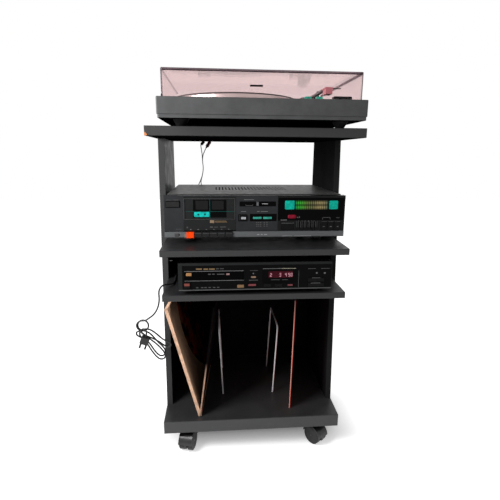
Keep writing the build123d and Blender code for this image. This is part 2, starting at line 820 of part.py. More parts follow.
with BuildPart() as receiver_fascia:
    with BuildSketch(Plane.XZ.offset(-set_front)):
        with Locations((set_x, (fascia_low + set_top) / 2)):
            Rectangle(set_width, set_top - fascia_low)
    extrude(amount=-fascia_t)
    chamfer(receiver_fascia.faces().sort_by(Axis.Y)[0].edges(), fascia_chamfer)
    # the cassette well
    well_h = door_top + run_gap - fascia_low
    well_w = door_x[1] - door_x[0] + 2 * run_gap
    with BuildSketch(Plane.XZ.offset(-set_back_of_fascia)):
        with Locations((door_mid, fascia_low)):
            Rectangle(well_w + 2 * well_t, well_h + well_t, align=(Align.CENTER, Align.MIN))
    extrude(amount=-(well_back + well_t - set_back_of_fascia))
    with BuildSketch(Plane.XZ.offset(-set_front)):
        with Locations((door_mid, fascia_low)):
            Rectangle(well_w, well_h, align=(Align.CENTER, Align.MIN))
    extrude(amount=-(well_back - set_front), mode=Mode.SUBTRACT)
    with BuildSketch(Plane.YZ.offset(door_x[0] - run_gap - door_pin_l)):
        with Locations((door_axis_y, door_axis_z)):
            Circle(door_pin_r + shaft_gap)
    extrude(amount=well_w + 2 * door_pin_l, mode=Mode.SUBTRACT)
    with BuildSketch(Plane.XZ.offset(-well_back)):
        for side in (-1, 1):
            with Locations((door_mid + side * hub_spacing / 2, cassette_z + hub_up)):
                Circle(drive_spindle_r)
    extrude(amount=well_back - set_front - door_t - cassette_t + drive_reach)
    # holes for the buttons, the slider slot and the level window
    extrude(face_rects(buttons, set_front, push_gap), amount=-fascia_t, mode=Mode.SUBTRACT)
    cap_pocket = power_cap_t + run_gap
    extrude(face_rects([power_button], set_front, push_gap), amount=-cap_pocket, mode=Mode.SUBTRACT)
    extrude(face_rects([power_stem], set_front, push_gap), amount=-fascia_t, mode=Mode.SUBTRACT)
    extrude(face_rects([slider_slot], set_front), amount=-slider_depth, mode=Mode.SUBTRACT)
    extrude(face_rects([level_window], set_front), amount=-level_window_depth, mode=Mode.SUBTRACT)
    extrude(face_rects([window_rect], set_front), amount=-window_t, mode=Mode.SUBTRACT)
save(receiver_fascia.part, "receiver_fascia")

with BuildPart() as tuner_window:
    extrude(face_rects([window_rect], set_front), amount=-window_t)
save(tuner_window.part, "tuner_window")

with BuildPart() as receiver_buttons:
    extrude(face_rects(buttons, set_front - button_proud), amount=-fascia_t)
    chamfer(receiver_buttons.faces().filter_by(Plane.XZ).group_by(Axis.Y)[0].edges(), button_chamfer)
save(receiver_buttons.part, "receiver_buttons")

with BuildPart() as receiver_power_switch:
    extrude(face_rects([power_button], set_front - power_travel), amount=-power_cap_t)
    chamfer(receiver_power_switch.faces().filter_by(Plane.XZ).group_by(Axis.Y)[0].edges(), button_chamfer)
    extrude(face_rects([power_stem], set_front), amount=-fascia_t)
save(receiver_power_switch.part, "receiver_power_switch")

with BuildPart() as tone_slider:
    knob_w, knob_h, knob_proud = slider_knob
    knob_rect = (slider_slot[0], slider_slot[1], knob_w, knob_h)
    extrude(face_rects([knob_rect], set_front - knob_proud), amount=-(knob_proud + slider_depth - run_gap))
    chamfer(tone_slider.faces().sort_by(Axis.Y)[0].edges(), button_chamfer)
save(tone_slider.part, "tone_slider")

with BuildPart() as cassette_door:
    with BuildSketch(Plane.YZ.offset(door_x[0])):
        with BuildLine():
            edge = CenterArc((door_axis_y, door_axis_z), door_edge_r, 180, 90)
            Polyline(
                edge @ 1,
                (set_front + door_t, door_axis_z - door_edge_r / 2),
                (set_front + door_t, door_top),
                (set_front, door_top),
                edge @ 0,
            )
        make_face()
    extrude(amount=door_x[1] - door_x[0])
    with BuildSketch(Plane.XZ.offset(-set_front)):
        with Locations((door_mid, set_low + (door_glass_z[0] + door_glass_z[1]) / 2)):
            Rectangle(door_x[1] - door_x[0] - 2 * door_glass_inset, door_glass_z[1] - door_glass_z[0])
    extrude(amount=-door_glass_t, mode=Mode.SUBTRACT)
    with BuildSketch(Plane.YZ.offset(door_x[0] - door_pin_l)):
        with Locations((door_axis_y, door_axis_z)):
            Circle(door_pin_r)
    extrude(amount=door_x[1] - door_x[0] + 2 * door_pin_l)
save(cassette_door.part, "cassette_door")

with BuildPart() as cassette:
    with BuildSketch(Plane.XZ.offset(-(set_front + door_t))):
        with Locations((door_mid, cassette_z + cassette_h / 2)):
            RectangleRounded(cassette_w, cassette_h, cassette_corner)
        for side in (-1, 1):
            with Locations((door_mid + side * hub_spacing / 2, cassette_z + hub_up)):
                Circle(hub_r, mode=Mode.SUBTRACT)
    extrude(amount=-cassette_t)
save(cassette.part, "cassette")

# ---------------------------------------------------------------- trim strip and tape keys
key_count = len(key_names)
keys_x1 = key_x0 + key_count * key_pitch
with BuildPart() as receiver_trim_strip:
    with BuildSketch(Plane.XZ.offset(-set_front)):
        with Locations((set_x, set_low + strip_h / 2)):
            Rectangle(set_width, strip_h)
    extrude(amount=-strip_t)
    chamfer(receiver_trim_strip.faces().sort_by(Axis.Y)[0].edges().filter_by(Axis.X), fascia_chamfer)
    with BuildSketch(Plane.XZ.offset(-set_front)):
        with Locations(((key_x0 + keys_x1) / 2, set_low + strip_h / 2)):
            Rectangle(keys_x1 - key_x0, strip_h)
    extrude(amount=-(strip_t - strip_web_t), mode=Mode.SUBTRACT)
    with BuildSketch(Plane.XZ.offset(-set_front)):
        for i in range(key_count):
            with Locations((key_x0 + (i + 0.5) * key_pitch, set_low + strip_h / 2)):
                Rectangle(key_shank + 2 * run_gap, key_shank + 2 * run_gap)
    extrude(amount=-strip_t, mode=Mode.SUBTRACT)
    with BuildSketch(Plane.XZ.offset(-set_front)):
        with Locations((jack_x, set_low + jack_z)):
            Circle(jack_r)
    extrude(amount=-strip_t, mode=Mode.SUBTRACT)
save(receiver_trim_strip.part, "receiver_trim_strip")

for i, name in enumerate(key_names):
    drop = record_key_drop if i == 0 else 0.0
    with BuildPart() as tape_key:
        key_mid = key_x0 + (i + 0.5) * key_pitch
        with BuildSketch(Plane.XZ.offset(-(set_front - key_proud))):
            with Locations((key_mid, set_low + strip_h / 2 - drop)):
                Rectangle(key_pitch - key_gap, strip_h - 2 * run_gap + drop)
        extrude(amount=-(key_proud + strip_t - strip_web_t - key_in - run_gap))
        chamfer(tape_key.faces().sort_by(Axis.Y)[0].edges(), key_chamfer)
        with BuildSketch(Plane.XZ.offset(-set_front)):
            with Locations((key_mid, set_low + strip_h / 2)):
                Rectangle(key_shank, key_shank)
        extrude(amount=-(strip_t + key_behind))
    save(tape_key.part, name)

# ---------------------------------------------------------------- case and chassis
case_front = set_back_of_fascia
case_low = set_low + case_above_foot
case_top = set_top + case_over_fascia
case_depth = case_back - case_front
case_y = (case_front + case_back) / 2
vent_count = 22
vent_pitch = 9.0
vent_w = 3.0
vent_l = 90.0
vent_y = 60.0

with BuildPart() as receiver_case:
    with BuildSketch(Plane.XZ.offset(-case_front)):
        with Locations((set_x, (case_low + case_top) / 2)):
            Rectangle(case_width, case_top - case_low)
        with Locations((set_x, (case_low + case_top) / 2 - case_t)):
            Rectangle(case_width - 2 * case_t, case_top - case_low, mode=Mode.SUBTRACT)
    extrude(amount=-case_depth)
    with BuildSketch(Plane.XY.offset(case_top - case_t)):
        with Locations((set_x, vent_y)):
            with GridLocations(vent_pitch, 1, vent_count, 1):
                SlotOverall(vent_l, vent_w, rotation=90)
    extrude(amount=case_t, mode=Mode.SUBTRACT)
save(receiver_case.part, "receiver_case")

socket_r = 4.2
socket_l = 7.0
socket_x = [-150.0, -130.0, -110.0, -90.0]
socket_z = [640.0, 662.0]
speaker_block = (60.0, 28.0, 9.0)
speaker_x = 60.0
speaker_z = 640.0
inside_half = case_width / 2 - case_t

with BuildPart() as receiver_chassis:
    with BuildSketch(Plane.XY.offset(case_low)):
        with Locations((set_x, case_y)):
            Rectangle(2 * inside_half, case_depth)
    extrude(amount=chassis_t)
    with BuildSketch(Plane.XZ.offset(-case_back)):
        with Locations((set_x, (case_low + case_top - case_t) / 2)):
            Rectangle(2 * inside_half, case_top - case_t - case_low)
    extrude(amount=chassis_t)
    with BuildSketch(Plane.XZ.offset(-case_back)):
        for x in socket_x:
            for z in socket_z:
                with Locations((x, z)):
                    Circle(socket_r)
    extrude(amount=-socket_l)
    with BuildSketch(Plane.XZ.offset(-case_back)):
        with Locations((speaker_x, speaker_z)):
            Rectangle(speaker_block[0], speaker_block[1])
    extrude(amount=-speaker_block[2])
    with Locations(Location((set_x, case_y, receiver_shelf_top))):
        with GridLocations(case_width - 2 * set_foot_inset, case_depth - 2 * set_foot_inset, 2, 2):
            Cone(set_foot_tip_r, set_foot_r, case_low - receiver_shelf_top,
                 align=(Align.CENTER, Align.CENTER, Align.MIN))
save(receiver_chassis.part, "receiver_chassis")

# ================================================================ CD player
# ---------------------------------------------------------------- driving dimensions
cd_x = 1.5                  # middle of the player
cd_width = 361.5            # fascia
cd_front = -172.0
cd_back = 110.0
cd_foot_h = 10.5
cd_foot_r = 13.0
cd_foot_inset = 38.0
cd_fascia_h = 67.5
cd_fascia_t = 14.0
cd_case_less = 1.75         # case inside the fascia, each side
cd_case_t = 1.5
cd_tray_x = (-165.0, -26.7)
cd_tray_z = (33.7, 57.9)    # above the shelf
cd_tray_front_t = 5.0
cd_tray_gap = 0.4
cd_tray_length = 175.0
cd_tray_plate = (130.0, 6.0)
cd_disc_r = 60.0
cd_disc_deep = 2.5
cd_disc_behind = 64.0       # disc's middle behind the tray's front
cd_rail_w = 6.0
cd_rail_lip = 2.5
cd_push_proud = 2.0
cd_push_chamfer = 0.4
cd_power_travel = 2.5
cd_power_proud = 3.5
cd_power_place = (-159.1, 25.2, 13.4, 14.8)      # middle x, height above the shelf, width, height
cd_button_places = [
    (-7.8, 22.3, 18.9, 5.3),
    (28.9, 21.0, 16.6, 6.6),
    (55.2, 21.0, 16.7, 6.6),
    (82.6, 21.0, 14.4, 6.6),
    (145.0, 21.0, 38.0, 9.0),
    (145.0, 32.5, 38.0, 9.0),
]
cd_window_place = (59.4, 45.6, 59.8, 20.7)
cd_window_deep = 1.5
relief_x = -150.0           # mains cord's strain relief
relief_z = 485.0
relief_r = 5.0
relief_tip_r = 2.6
relief_l = 22.0

cd_low = cd_shelf_top + cd_foot_h
cd_top = cd_low + cd_fascia_h
cd_fascia_back = cd_front + cd_fascia_t
tray_mid_x = (cd_tray_x[0] + cd_tray_x[1]) / 2
tray_mid_z = (cd_tray_z[0] + cd_tray_z[1]) / 2
tray_rect = (tray_mid_x, tray_mid_z, cd_tray_x[1] - cd_tray_x[0], cd_tray_z[1] - cd_tray_z[0])
tray_plate_z = cd_shelf_top + tray_mid_z


def cd_rects(items, y, grow=0.0):
    """Rectangles on the XZ plane at y. An item: middle x, height above the CD shelf, width, height."""
    with BuildSketch(Plane.XZ.offset(-y)) as rects:
        for x, z, w, h in items:
            with Locations((x, cd_shelf_top + z)):
                Rectangle(w + 2 * grow, h + 2 * grow)
    return rects.sketch


with BuildPart() as cd_fascia:
    with BuildSketch(Plane.XZ.offset(-cd_front)):
        with Locations((cd_x, (cd_low + cd_top) / 2)):
            Rectangle(cd_width, cd_fascia_h)
    extrude(amount=-cd_fascia_t)
    chamfer(cd_fascia.faces().sort_by(Axis.Y)[0].edges(), fascia_chamfer)
    extrude(cd_rects([tray_rect], cd_front, cd_tray_gap), amount=-cd_fascia_t, mode=Mode.SUBTRACT)
    button_holes = cd_rects([cd_power_place, *cd_button_places], cd_front, push_gap)
    extrude(button_holes, amount=-cd_fascia_t, mode=Mode.SUBTRACT)
    extrude(cd_rects([cd_window_place], cd_front), amount=-cd_window_deep, mode=Mode.SUBTRACT)
save(cd_fascia.part, "cd_fascia")

with BuildPart() as cd_case:
    case_x = cd_width - 2 * cd_case_less
    case_z = cd_fascia_h - 2 * cd_case_less
    cd_mid_z = (cd_low + cd_top) / 2
    with BuildSketch(Plane.XZ.offset(-cd_fascia_back)):
        with Locations((cd_x, cd_mid_z)):
            Rectangle(case_x, case_z)
            Rectangle(case_x - 2 * cd_case_t, case_z - 2 * cd_case_t, mode=Mode.SUBTRACT)
    extrude(amount=-(cd_back - cd_fascia_back))
    with BuildSketch(Plane.XZ.offset(-cd_back)):
        with Locations((cd_x, cd_mid_z)):
            Rectangle(case_x, case_z)
    extrude(amount=cd_case_t)
    # guide rails that the tray runs in
    rail_low = cd_mid_z - case_z / 2
    rail_top = tray_plate_z + cd_tray_plate[1] / 2 + run_gap + cd_rail_lip
    with BuildSketch(Plane.XZ.offset(-cd_fascia_back)):
        for side in (-1, 1):
            with Locations((tray_mid_x + side * (cd_tray_plate[0] / 2 + run_gap), rail_low)):
                Rectangle(2 * cd_rail_w, rail_top - rail_low, align=(Align.CENTER, Align.MIN))
        with Locations((tray_mid_x, tray_plate_z)):
            Rectangle(cd_tray_plate[0] + 2 * run_gap, cd_tray_plate[1] + 2 * run_gap, mode=Mode.SUBTRACT)
    extrude(amount=-(cd_tray_length - cd_fascia_t + cd_tray_front_t))
    with Locations(Location((cd_x, (cd_front + cd_back) / 2, cd_shelf_top))):
        with GridLocations(cd_width - 2 * cd_foot_inset, cd_back - cd_front - 2 * cd_foot_inset, 2, 2):
            Cylinder(cd_foot_r, cd_foot_h + cd_case_less, align=(Align.CENTER, Align.CENTER, Align.MIN))
    with BuildSketch(Plane.XZ.offset(-cd_back)):
        with Locations((relief_x, relief_z)):
            Circle(relief_r)
    with BuildSketch(Plane.XZ.offset(-cd_back - relief_l)):
        with Locations((relief_x, relief_z)):
            Circle(relief_tip_r)
    loft()
save(cd_case.part, "cd_case")

with BuildPart() as cd_tray:
    extrude(cd_rects([tray_rect], cd_front), amount=-cd_tray_front_t)
    chamfer(cd_tray.faces().sort_by(Axis.Y)[0].edges(), cd_push_chamfer)
    plate = (tray_mid_x, tray_mid_z, *cd_tray_plate)
    extrude(cd_rects([plate], cd_front + cd_tray_front_t), amount=-cd_tray_length)
    with BuildSketch(Plane.XY.offset(tray_plate_z + cd_tray_plate[1] / 2)):
        with Locations((tray_mid_x, cd_front + cd_disc_behind + cd_tray_front_t)):
            Circle(cd_disc_r)
    extrude(amount=-cd_disc_deep, mode=Mode.SUBTRACT)
save(cd_tray.part, "cd_tray")

with BuildPart() as cd_power_button:
    cap_length = cd_power_proud + cd_fascia_t - cd_power_travel - push_gap
    extrude(cd_rects([cd_power_place], cd_front - cd_power_proud), amount=-cap_length)
    chamfer(cd_power_button.faces().sort_by(Axis.Y)[0].edges(), button_chamfer)
save(cd_power_button.part, "cd_power_button")

with BuildPart() as cd_buttons:
    extrude(cd_rects(cd_button_places, cd_front - cd_push_proud), amount=-(cd_push_proud + cd_fascia_t))
    chamfer(cd_buttons.faces().filter_by(Plane.XZ).group_by(Axis.Y)[0].edges(), cd_push_chamfer)
save(cd_buttons.part, "cd_buttons")

# ================================================================ stored record sleeves
sleeve_size = 315.0
sleeve_lift = 0.3           # above the base board
gatefold_inset = 78.5       # front end of the spine from the left side panel
gatefold_front = -120.0
gatefold_at = (-inner_half + gatefold_inset, gatefold_front)
gatefold_yaw = 4.5
left_leaf = (9.0, 14.7)     # thickness with the records in it, and its lean to the left
right_leaf = (4.0, -7.4)
single_inset = 111.5        # front end of its foot from the right side panel
single_front = -99.5
single_at = (inner_half - single_inset, single_front)
single_yaw = 12.0
single_lean = -1.1
single_t = 3.5


def standing_plane(place, yaw):
    """Upright plane at a sleeve's front edge, facing forwards, with the sleeve's depth behind it."""
    a = radians(yaw)
    foot = (*place, base_top + sleeve_lift)
    return Plane(origin=foot, x_dir=(cos(a), -sin(a), 0), z_dir=(-sin(a), -cos(a), 0))


with BuildPart() as gatefold_sleeve:
    with BuildSketch(standing_plane(gatefold_at, gatefold_yaw)):
        with Locations((0, left_leaf[0] / 2)):
            Circle(left_leaf[0] / 2)
            leaf_h = sleeve_size - left_leaf[0] / 2
            for thick, lean in (left_leaf, right_leaf):
                Rectangle(thick, leaf_h, rotation=lean, align=(Align.CENTER, Align.MIN))
    extrude(amount=-sleeve_size)
save(gatefold_sleeve.part, "gatefold_sleeve")

with BuildPart() as record_sleeve:
    with BuildSketch(standing_plane(single_at, single_yaw)):
        with Locations((0, single_t / 2)):
            Circle(single_t / 2)
            leaf_h = sleeve_size - single_t
            Rectangle(single_t, leaf_h, rotation=single_lean, align=(Align.CENTER, Align.MIN))
    extrude(amount=-sleeve_size)
save(record_sleeve.part, "record_sleeve")

# ================================================================ cords


def cord_tube(route, diameter):
    """A cord's tube: straight runs with the largest tangent arcs that its runs allow. Prints the radii."""
    points = [Vector(*p) for p in route]
    radii = []
    for before, here, after in zip(points, points[1:], points[2:]):
        half_turn = radians((here - before).get_angle(after - here)) / 2
        radii.append(0.45 * min((here - before).length, (after - here).length) / tan(half_turn))
    with BuildPart() as tube:
        with BuildLine() as path:
            FilletPolyline(*points, radius=radii)
        with BuildSketch(Plane(origin=points[0], z_dir=points[1] - points[0])):
            Circle(diameter / 2)
        sweep(path=path.line)
    length = sum(edge.length for edge in path.line.edges())
    print("radii", [round(r) for r in radii], "length", round(length), "volume share",
          round(tube.part.volume / (length * pi * diameter**2 / 4), 3))
    return tube.part


mains_d = 4.0
mains_route = [
    (relief_x, cd_back + relief_l, relief_z), (-150, 149, 485), (-157, 167, 479.5), (-174, 176, 470.5),
    (-190, 167, 465), (-197.5, 148, 464.3), (-196, 112, 464.3), (-199, 68, 464.3), (-196.5, 22, 464.3),
    (-200.5, -24, 464.3), (-197.5, -62, 464.3), (-199.5, -88, 464.8), (-204.5, -104, 467.5),
    (-212, -115, 471), (-221.5, -122, 471.5), (-229, -126, 464.5), (-231.5, -127, 453), (-230.6, -127, 439),
    (-232.8, -126, 423), (-238.5, -123.5, 407.5), (-247.5, -121, 394), (-258.5, -119, 385.3),
    (-269.5, -118.4, 377.8),
]
save(cord_tube(mains_route, mains_d), "mains_cord")

# The spare length, wound into a loose hank that hangs from the cord.
hank_y = -118.0
hank_t = 20.0
hank_lobes = [(-276.5, 364.0, 16.0), (-216.0, 318.0, 11.0), (-232.0, 288.0, 12.0), (-283.0, 342.0, 12.0)]
with BuildPart() as mains_hank:
    with BuildSketch(Plane.XZ.offset(-hank_y - hank_t / 2)):
        for x, z, r in hank_lobes:
            with Locations((x, z)):
                Circle(r)
        make_hull()
    extrude(amount=hank_t)
    fillet(mains_hank.edges(), hank_t / 4)
save(mains_hank.part, "mains_hank")

plug_size = (21.0, 18.0, 14.0)                   # across the pins, along them, thick
plug_at = (-269.5, hank_y - hank_t / 2, 333.0)
plug_tilt = 20.0            # of the pins, from straight down towards -X
plug_fillet = 3.0
plug_pin_r = 2.4
plug_pin_l = 14.0
plug_pin_spacing = 13.5
with BuildPart() as mains_plug:
    tilt = radians(plug_tilt)
    along = Vector(-sin(tilt), 0, -cos(tilt))
    broad = Vector(cos(tilt), 0, -sin(tilt))
    with BuildSketch(Plane(origin=plug_at, x_dir=broad, z_dir=(0, -1, 0))):
        RectangleRounded(plug_size[0], plug_size[1], plug_fillet)
    extrude(amount=plug_size[2])
    pin_root = Vector(*plug_at) + Vector(0, -plug_size[2] / 2, 0) + along * (plug_size[1] / 2)
    with BuildSketch(Plane(origin=pin_root, x_dir=broad, z_dir=along)):
        with GridLocations(plug_pin_spacing, 1, 2, 1):
            Circle(plug_pin_r)
    extrude(amount=plug_pin_l)
save(mains_plug.part, "mains_plug")

# Phono lead: two wires from right-angle plugs on the receiver's sockets up to in-line plugs at the top
# board's back edge, and from there over the edge to the turntable.
phono_d = 2.5
socket_end = case_back + socket_l
angle_plug_r = 5.0
angle_plug_l = 8.0
phono_y = rack_back + 7.0
red_plug = (-111.5, 800.0, 28.0, 6.5)            # x, low end, length, radius
black_plug = (-128.0, 806.0, 24.0, 6.0)
lead_rise = socket_z[1] + angle_plug_r
lead_y = socket_end + angle_plug_l / 2
exit_x = {"red": -112.0, "black": -121.0}
exit_y = deck_front + deck_depth - tray_inset
exit_z = tray_low + tray_h / 2
phono_routes = [
    [
        (socket_x[0], lead_y, lead_rise), (-149.8, 215.5, 674.5), (-147.3, 219, 683), (-142.3, 221.6, 695),
        (-134, 222, 714), (-129, 222, 738), (-131.5, 222, 762), (-126, 222, 781), (-115.5, 222, 790),
        (red_plug[0], phono_y, red_plug[1]),
    ],
    [
        (socket_x[1], lead_y, lead_rise), (-130.4, 216.5, 675), (-133.3, 221, 684), (-134.8, 225, 697),
        (-130, 225.6, 717), (-126.8, 225.4, 739), (-130.5, 225, 762), (-130.5, 223.5, 781),
        (-128.6, 222.4, 794), (black_plug[0], phono_y, black_plug[1]),
    ],
    [
        (red_plug[0], phono_y, red_plug[1] + red_plug[2]), (-111.3, 222.6, 837.6), (-111.5, 220, 847.5),
        (-111.8, 211, 850.5), (-112.3, 200, 846), (-112.6, 187, 843), (-112.4, 173, 845.5),
        (-112.1, 158.5, 853.6), (exit_x["red"], exit_y, exit_z),
    ],
    [
        (black_plug[0], phono_y, black_plug[1] + black_plug[2]), (-127.8, 222.6, 839), (-127.3, 220, 848),
        (-126.3, 211, 850.5), (-124.8, 200, 846), (-123.2, 187, 843), (-122, 173, 845.5),
        (-121.2, 158.5, 853.6), (exit_x["black"], exit_y, exit_z),
    ],
]
with BuildPart() as phono_lead:
    for route in phono_routes:
        add(cord_tube(route, phono_d))
save(phono_lead.part, "phono_lead")

with BuildPart() as phono_plugs:
    for x, low, length, r in (red_plug, black_plug):
        with Locations(Location((x, phono_y, low))):
            Cylinder(r, length, align=(Align.CENTER, Align.CENTER, Align.MIN))
    for x in socket_x[:2]:
        with BuildSketch(Plane.XZ.offset(-socket_end)):
            with Locations((x, socket_z[1])):
                Circle(angle_plug_r)
        extrude(amount=-angle_plug_l)
    chamfer(phono_plugs.edges().filter_by(GeomType.CIRCLE), phono_d / 4)
save(phono_plugs.part, "phono_plugs")
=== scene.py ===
"""Stereo music centre: finishes, cords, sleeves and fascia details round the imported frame.

Places are in millimetres, in the frame's own axes (X right, Y back, Z up), and mm() turns them into metres.
What lies on a unit's front is placed on its Face: by its distance to the right of the unit's middle, its
height above the unit's lowest edge, and how far it stands proud of the front.
"""

import math
from collections import namedtuple

import bmesh
import bpy
from mathutils import Matrix, Vector


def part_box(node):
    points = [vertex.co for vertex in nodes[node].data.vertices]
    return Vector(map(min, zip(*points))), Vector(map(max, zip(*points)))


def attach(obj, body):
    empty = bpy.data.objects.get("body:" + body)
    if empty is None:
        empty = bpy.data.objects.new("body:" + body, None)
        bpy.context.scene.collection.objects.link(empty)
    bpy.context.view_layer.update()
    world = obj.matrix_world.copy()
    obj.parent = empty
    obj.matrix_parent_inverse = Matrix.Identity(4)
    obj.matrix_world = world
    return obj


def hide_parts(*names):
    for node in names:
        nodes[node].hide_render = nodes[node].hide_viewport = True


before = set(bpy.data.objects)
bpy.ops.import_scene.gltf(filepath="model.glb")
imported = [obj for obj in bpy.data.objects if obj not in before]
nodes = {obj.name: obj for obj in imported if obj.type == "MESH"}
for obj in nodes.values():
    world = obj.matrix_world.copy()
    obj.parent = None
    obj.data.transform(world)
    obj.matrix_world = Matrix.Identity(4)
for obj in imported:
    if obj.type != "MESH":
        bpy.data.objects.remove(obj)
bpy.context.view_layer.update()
ROOT = "music_centre"


def mm(*place):
    return Vector(place) / 1000


def box_mm(node):
    """A node's lowest and highest corner in millimetres, to a thousandth."""
    return [Vector([round(v * 1000, 3) for v in corner]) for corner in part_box(node)]


# ---- shader nodes


def new_material(name):
    material = bpy.data.materials.new(name)
    material.use_nodes = True
    tree = material.node_tree
    return material, tree, tree.nodes["Principled BSDF"]


def plug_in(tree, socket, value):
    """Give a socket a value, or link another node's output to it."""
    if isinstance(value, bpy.types.NodeSocket):
        tree.links.new(value, socket)
    else:
        socket.default_value = value


def add_node(tree, kind, inputs=(), **settings):
    """A shader node with its settings; inputs maps a socket to a value or to another node's output."""
    node = tree.nodes.new("ShaderNode" + kind)
    for setting, value in settings.items():
        setattr(node, setting, value)
    for socket, value in dict(inputs).items():
        plug_in(tree, node.inputs[socket], value)
    return node


def set_up(tree, shader, **values):
    """Set or link a shader's sockets; an underscore stands for a blank."""
    for socket, value in values.items():
        plug_in(tree, shader.inputs[socket.replace("_", " ")], value)


def calc(tree, operation, *values):
    return add_node(tree, "Math", enumerate(values), operation=operation).outputs[0]


def times(tree, one, other):
    return calc(tree, "MULTIPLY", one, other)


def calc_vector(tree, operation, *values, result="Vector"):
    return add_node(tree, "VectorMath", enumerate(values), operation=operation).outputs[result]


def object_place(tree):
    return add_node(tree, "TexCoord").outputs["Object"]


def along(tree, vector, axis):
    return add_node(tree, "SeparateXYZ", {"Vector": vector}).outputs[axis]


def beyond(tree, axis, limit_mm):
    """One where the place along an axis is past a limit."""
    return calc(tree, "GREATER_THAN", along(tree, object_place(tree), axis), limit_mm / 1000)


def noise(tree, place, size_mm, detail=4.0):
    """Noise whose features are about size_mm across."""
    inputs = {"Vector": place, "Scale": 1000 / size_mm, "Detail": detail}
    return add_node(tree, "TexNoise", inputs).outputs["Fac"]


def spread(tree, value, low, high, start=0.35, stop=0.65):
    """Low up to start, high from stop on, and even in between."""
    inputs = {"Value": value, "From Min": start, "From Max": stop, "To Min": low, "To Max": high}
    return add_node(tree, "MapRange", inputs).outputs["Result"]


def shade(colour, factor):
    return tuple(min(1.0, c * factor) for c in colour) + (1.0,)


def blend_colours(tree, factor, low, high):
    """Low where factor is 0, high where it is 1; 0, 6 and 7 are the Mix node's sockets for colours."""
    return add_node(tree, "Mix", {0: factor, 6: low, 7: high}, data_type="RGBA").outputs[2]


def cloudy_colour(tree, cloud, colour, contrast):
    return blend_colours(
        tree, spread(tree, cloud, 0, 1), shade(colour, 1 - contrast), shade(colour, 1 + contrast)
    )


# ---- finishes

GLOSS_CLOUD = 0.6  # size of the gloss's clouds, as a share of the colour's
GLOSS_CONTRAST = 0.15
GRAIN_STRENGTH = 0.5


def look(
    name, colour, roughness, metallic=0.0, shine=0.5, mottle=0.1, mottle_mm=25.0, grain=0.05,
    grain_mm=0.7, edge_mm=0.35, stretch=(1, 1, 1),
):
    """A moulded, painted or metal finish: cloudy colour, uneven gloss, fine grain and softened edges.

    mottle is the contrast of the clouds and mottle_mm their size, grain the grain's depth in millimetres.
    stretch draws all of them out along an axis, and shine is the specular level.
    """
    material, tree, shader = new_material(name)
    place = add_node(tree, "Mapping", {"Vector": object_place(tree), "Scale": stretch}).outputs["Vector"]
    colours = cloudy_colour(tree, noise(tree, place, mottle_mm), colour, mottle)
    uneven = noise(tree, place, mottle_mm * GLOSS_CLOUD)
    gloss = spread(tree, uneven, roughness * (1 - GLOSS_CONTRAST), roughness * (1 + GLOSS_CONTRAST))
    rounded = add_node(tree, "Bevel", {"Radius": edge_mm / 1000}, samples=4).outputs["Normal"]
    height = noise(tree, place, grain_mm)
    bump = {"Height": height, "Strength": GRAIN_STRENGTH, "Distance": grain / 1000, "Normal": rounded}
    normal = add_node(tree, "Bump", bump).outputs["Normal"]
    set_up(tree, shader, Base_Color=colours, Roughness=gloss, Normal=normal)
    set_up(tree, shader, Metallic=metallic, Specular_IOR_Level=shine)
    return material


def paint_over(material, where, paint):
    """Put a colour or a colour socket over a look wherever the socket where is one."""
    tree = material.node_tree
    socket = tree.nodes["Principled BSDF"].inputs["Base Color"]
    tree.links.new(blend_colours(tree, where, socket.links[0].from_socket, paint), socket)
    return material


def recolour(material, mask, colour):
    """Paint one colour over a look wherever mask(tree) is one."""
    return paint_over(material, mask(material.node_tree), (*colour, 1))


def facing(tree, axis, below):
    """One on faces whose normal's share along an axis is lower than below."""
    normal = add_node(tree, "TexCoord").outputs["Normal"]
    return calc(tree, "LESS_THAN", along(tree, normal, axis), below)


def front_faces(tree):
    return facing(tree, "Y", -0.9)


def finish_glow(tree, shader, light, strength, shine):
    set_up(tree, shader, Base_Color=light, Emission_Color=light, Emission_Strength=strength)
    set_up(tree, shader, Roughness=0.25, Specular_IOR_Level=shine)


def glow(name, colour, strength=1.0, contrast=0.25, shine=0.08):
    material, tree, shader = new_material(name)
    light = cloudy_colour(tree, noise(tree, object_place(tree), 6), colour, contrast)
    finish_glow(tree, shader, light, strength, shine)
    return material


# ---- the cabinet's laminate

LAMINATE = (0.0145, 0.0145, 0.0155)
# painted shade for the faces of boards that look down
UNDERSIDE_SHADE = (0.0045, 0.0045, 0.005)
CHIP_AT = (-237, -192, 820)  # the top board's lower left front corner
CHIP_REACH = 10.8
CHIP_RAGGED = 9
CHIP_COLOUR = (0.52, 0.17, 0.045)


def chipped_corner(tree):
    place = object_place(tree)
    gap = calc_vector(tree, "DISTANCE", place, mm(*CHIP_AT), result="Value")
    ragged = times(tree, noise(tree, place, 3.0), CHIP_RAGGED / 1000)
    return calc(tree, "LESS_THAN", calc(tree, "ADD", gap, ragged), CHIP_REACH / 1000)


def painted_shade_underneath(material, shine, below=-0.9):
    """Painted shade on the faces that look down: dark, and without sheen."""
    tree = material.node_tree
    shader = tree.nodes["Principled BSDF"]
    above = calc(tree, "SUBTRACT", 1.0, facing(tree, "Z", below))
    set_up(tree, shader, Specular_IOR_Level=times(tree, above, shine))
    return recolour(material, lambda tree: facing(tree, "Z", below), UNDERSIDE_SHADE)


def laminate_look(name, front, shine=0.25, flat=LAMINATE):
    """Charcoal laminate: front faces painted lighter as a painted sheen, and a dark face underneath in
    painted shade.
    """
    material = look(name, flat, 0.4, shine=shine, mottle=0.12, mottle_mm=60, grain=0.03, grain_mm=0.5)
    recolour(material, front_faces, front)
    return painted_shade_underneath(material, shine)


# ---- finishes of the units

KEY_BED_LEFT = 57.7  # on the receiver's front, black like the window to the right of this
KEY_BED_BOTTOM = 603.5  # and above this
CARTRIDGE_END = 158.8  # the headshell is rose up to this X and black from there on


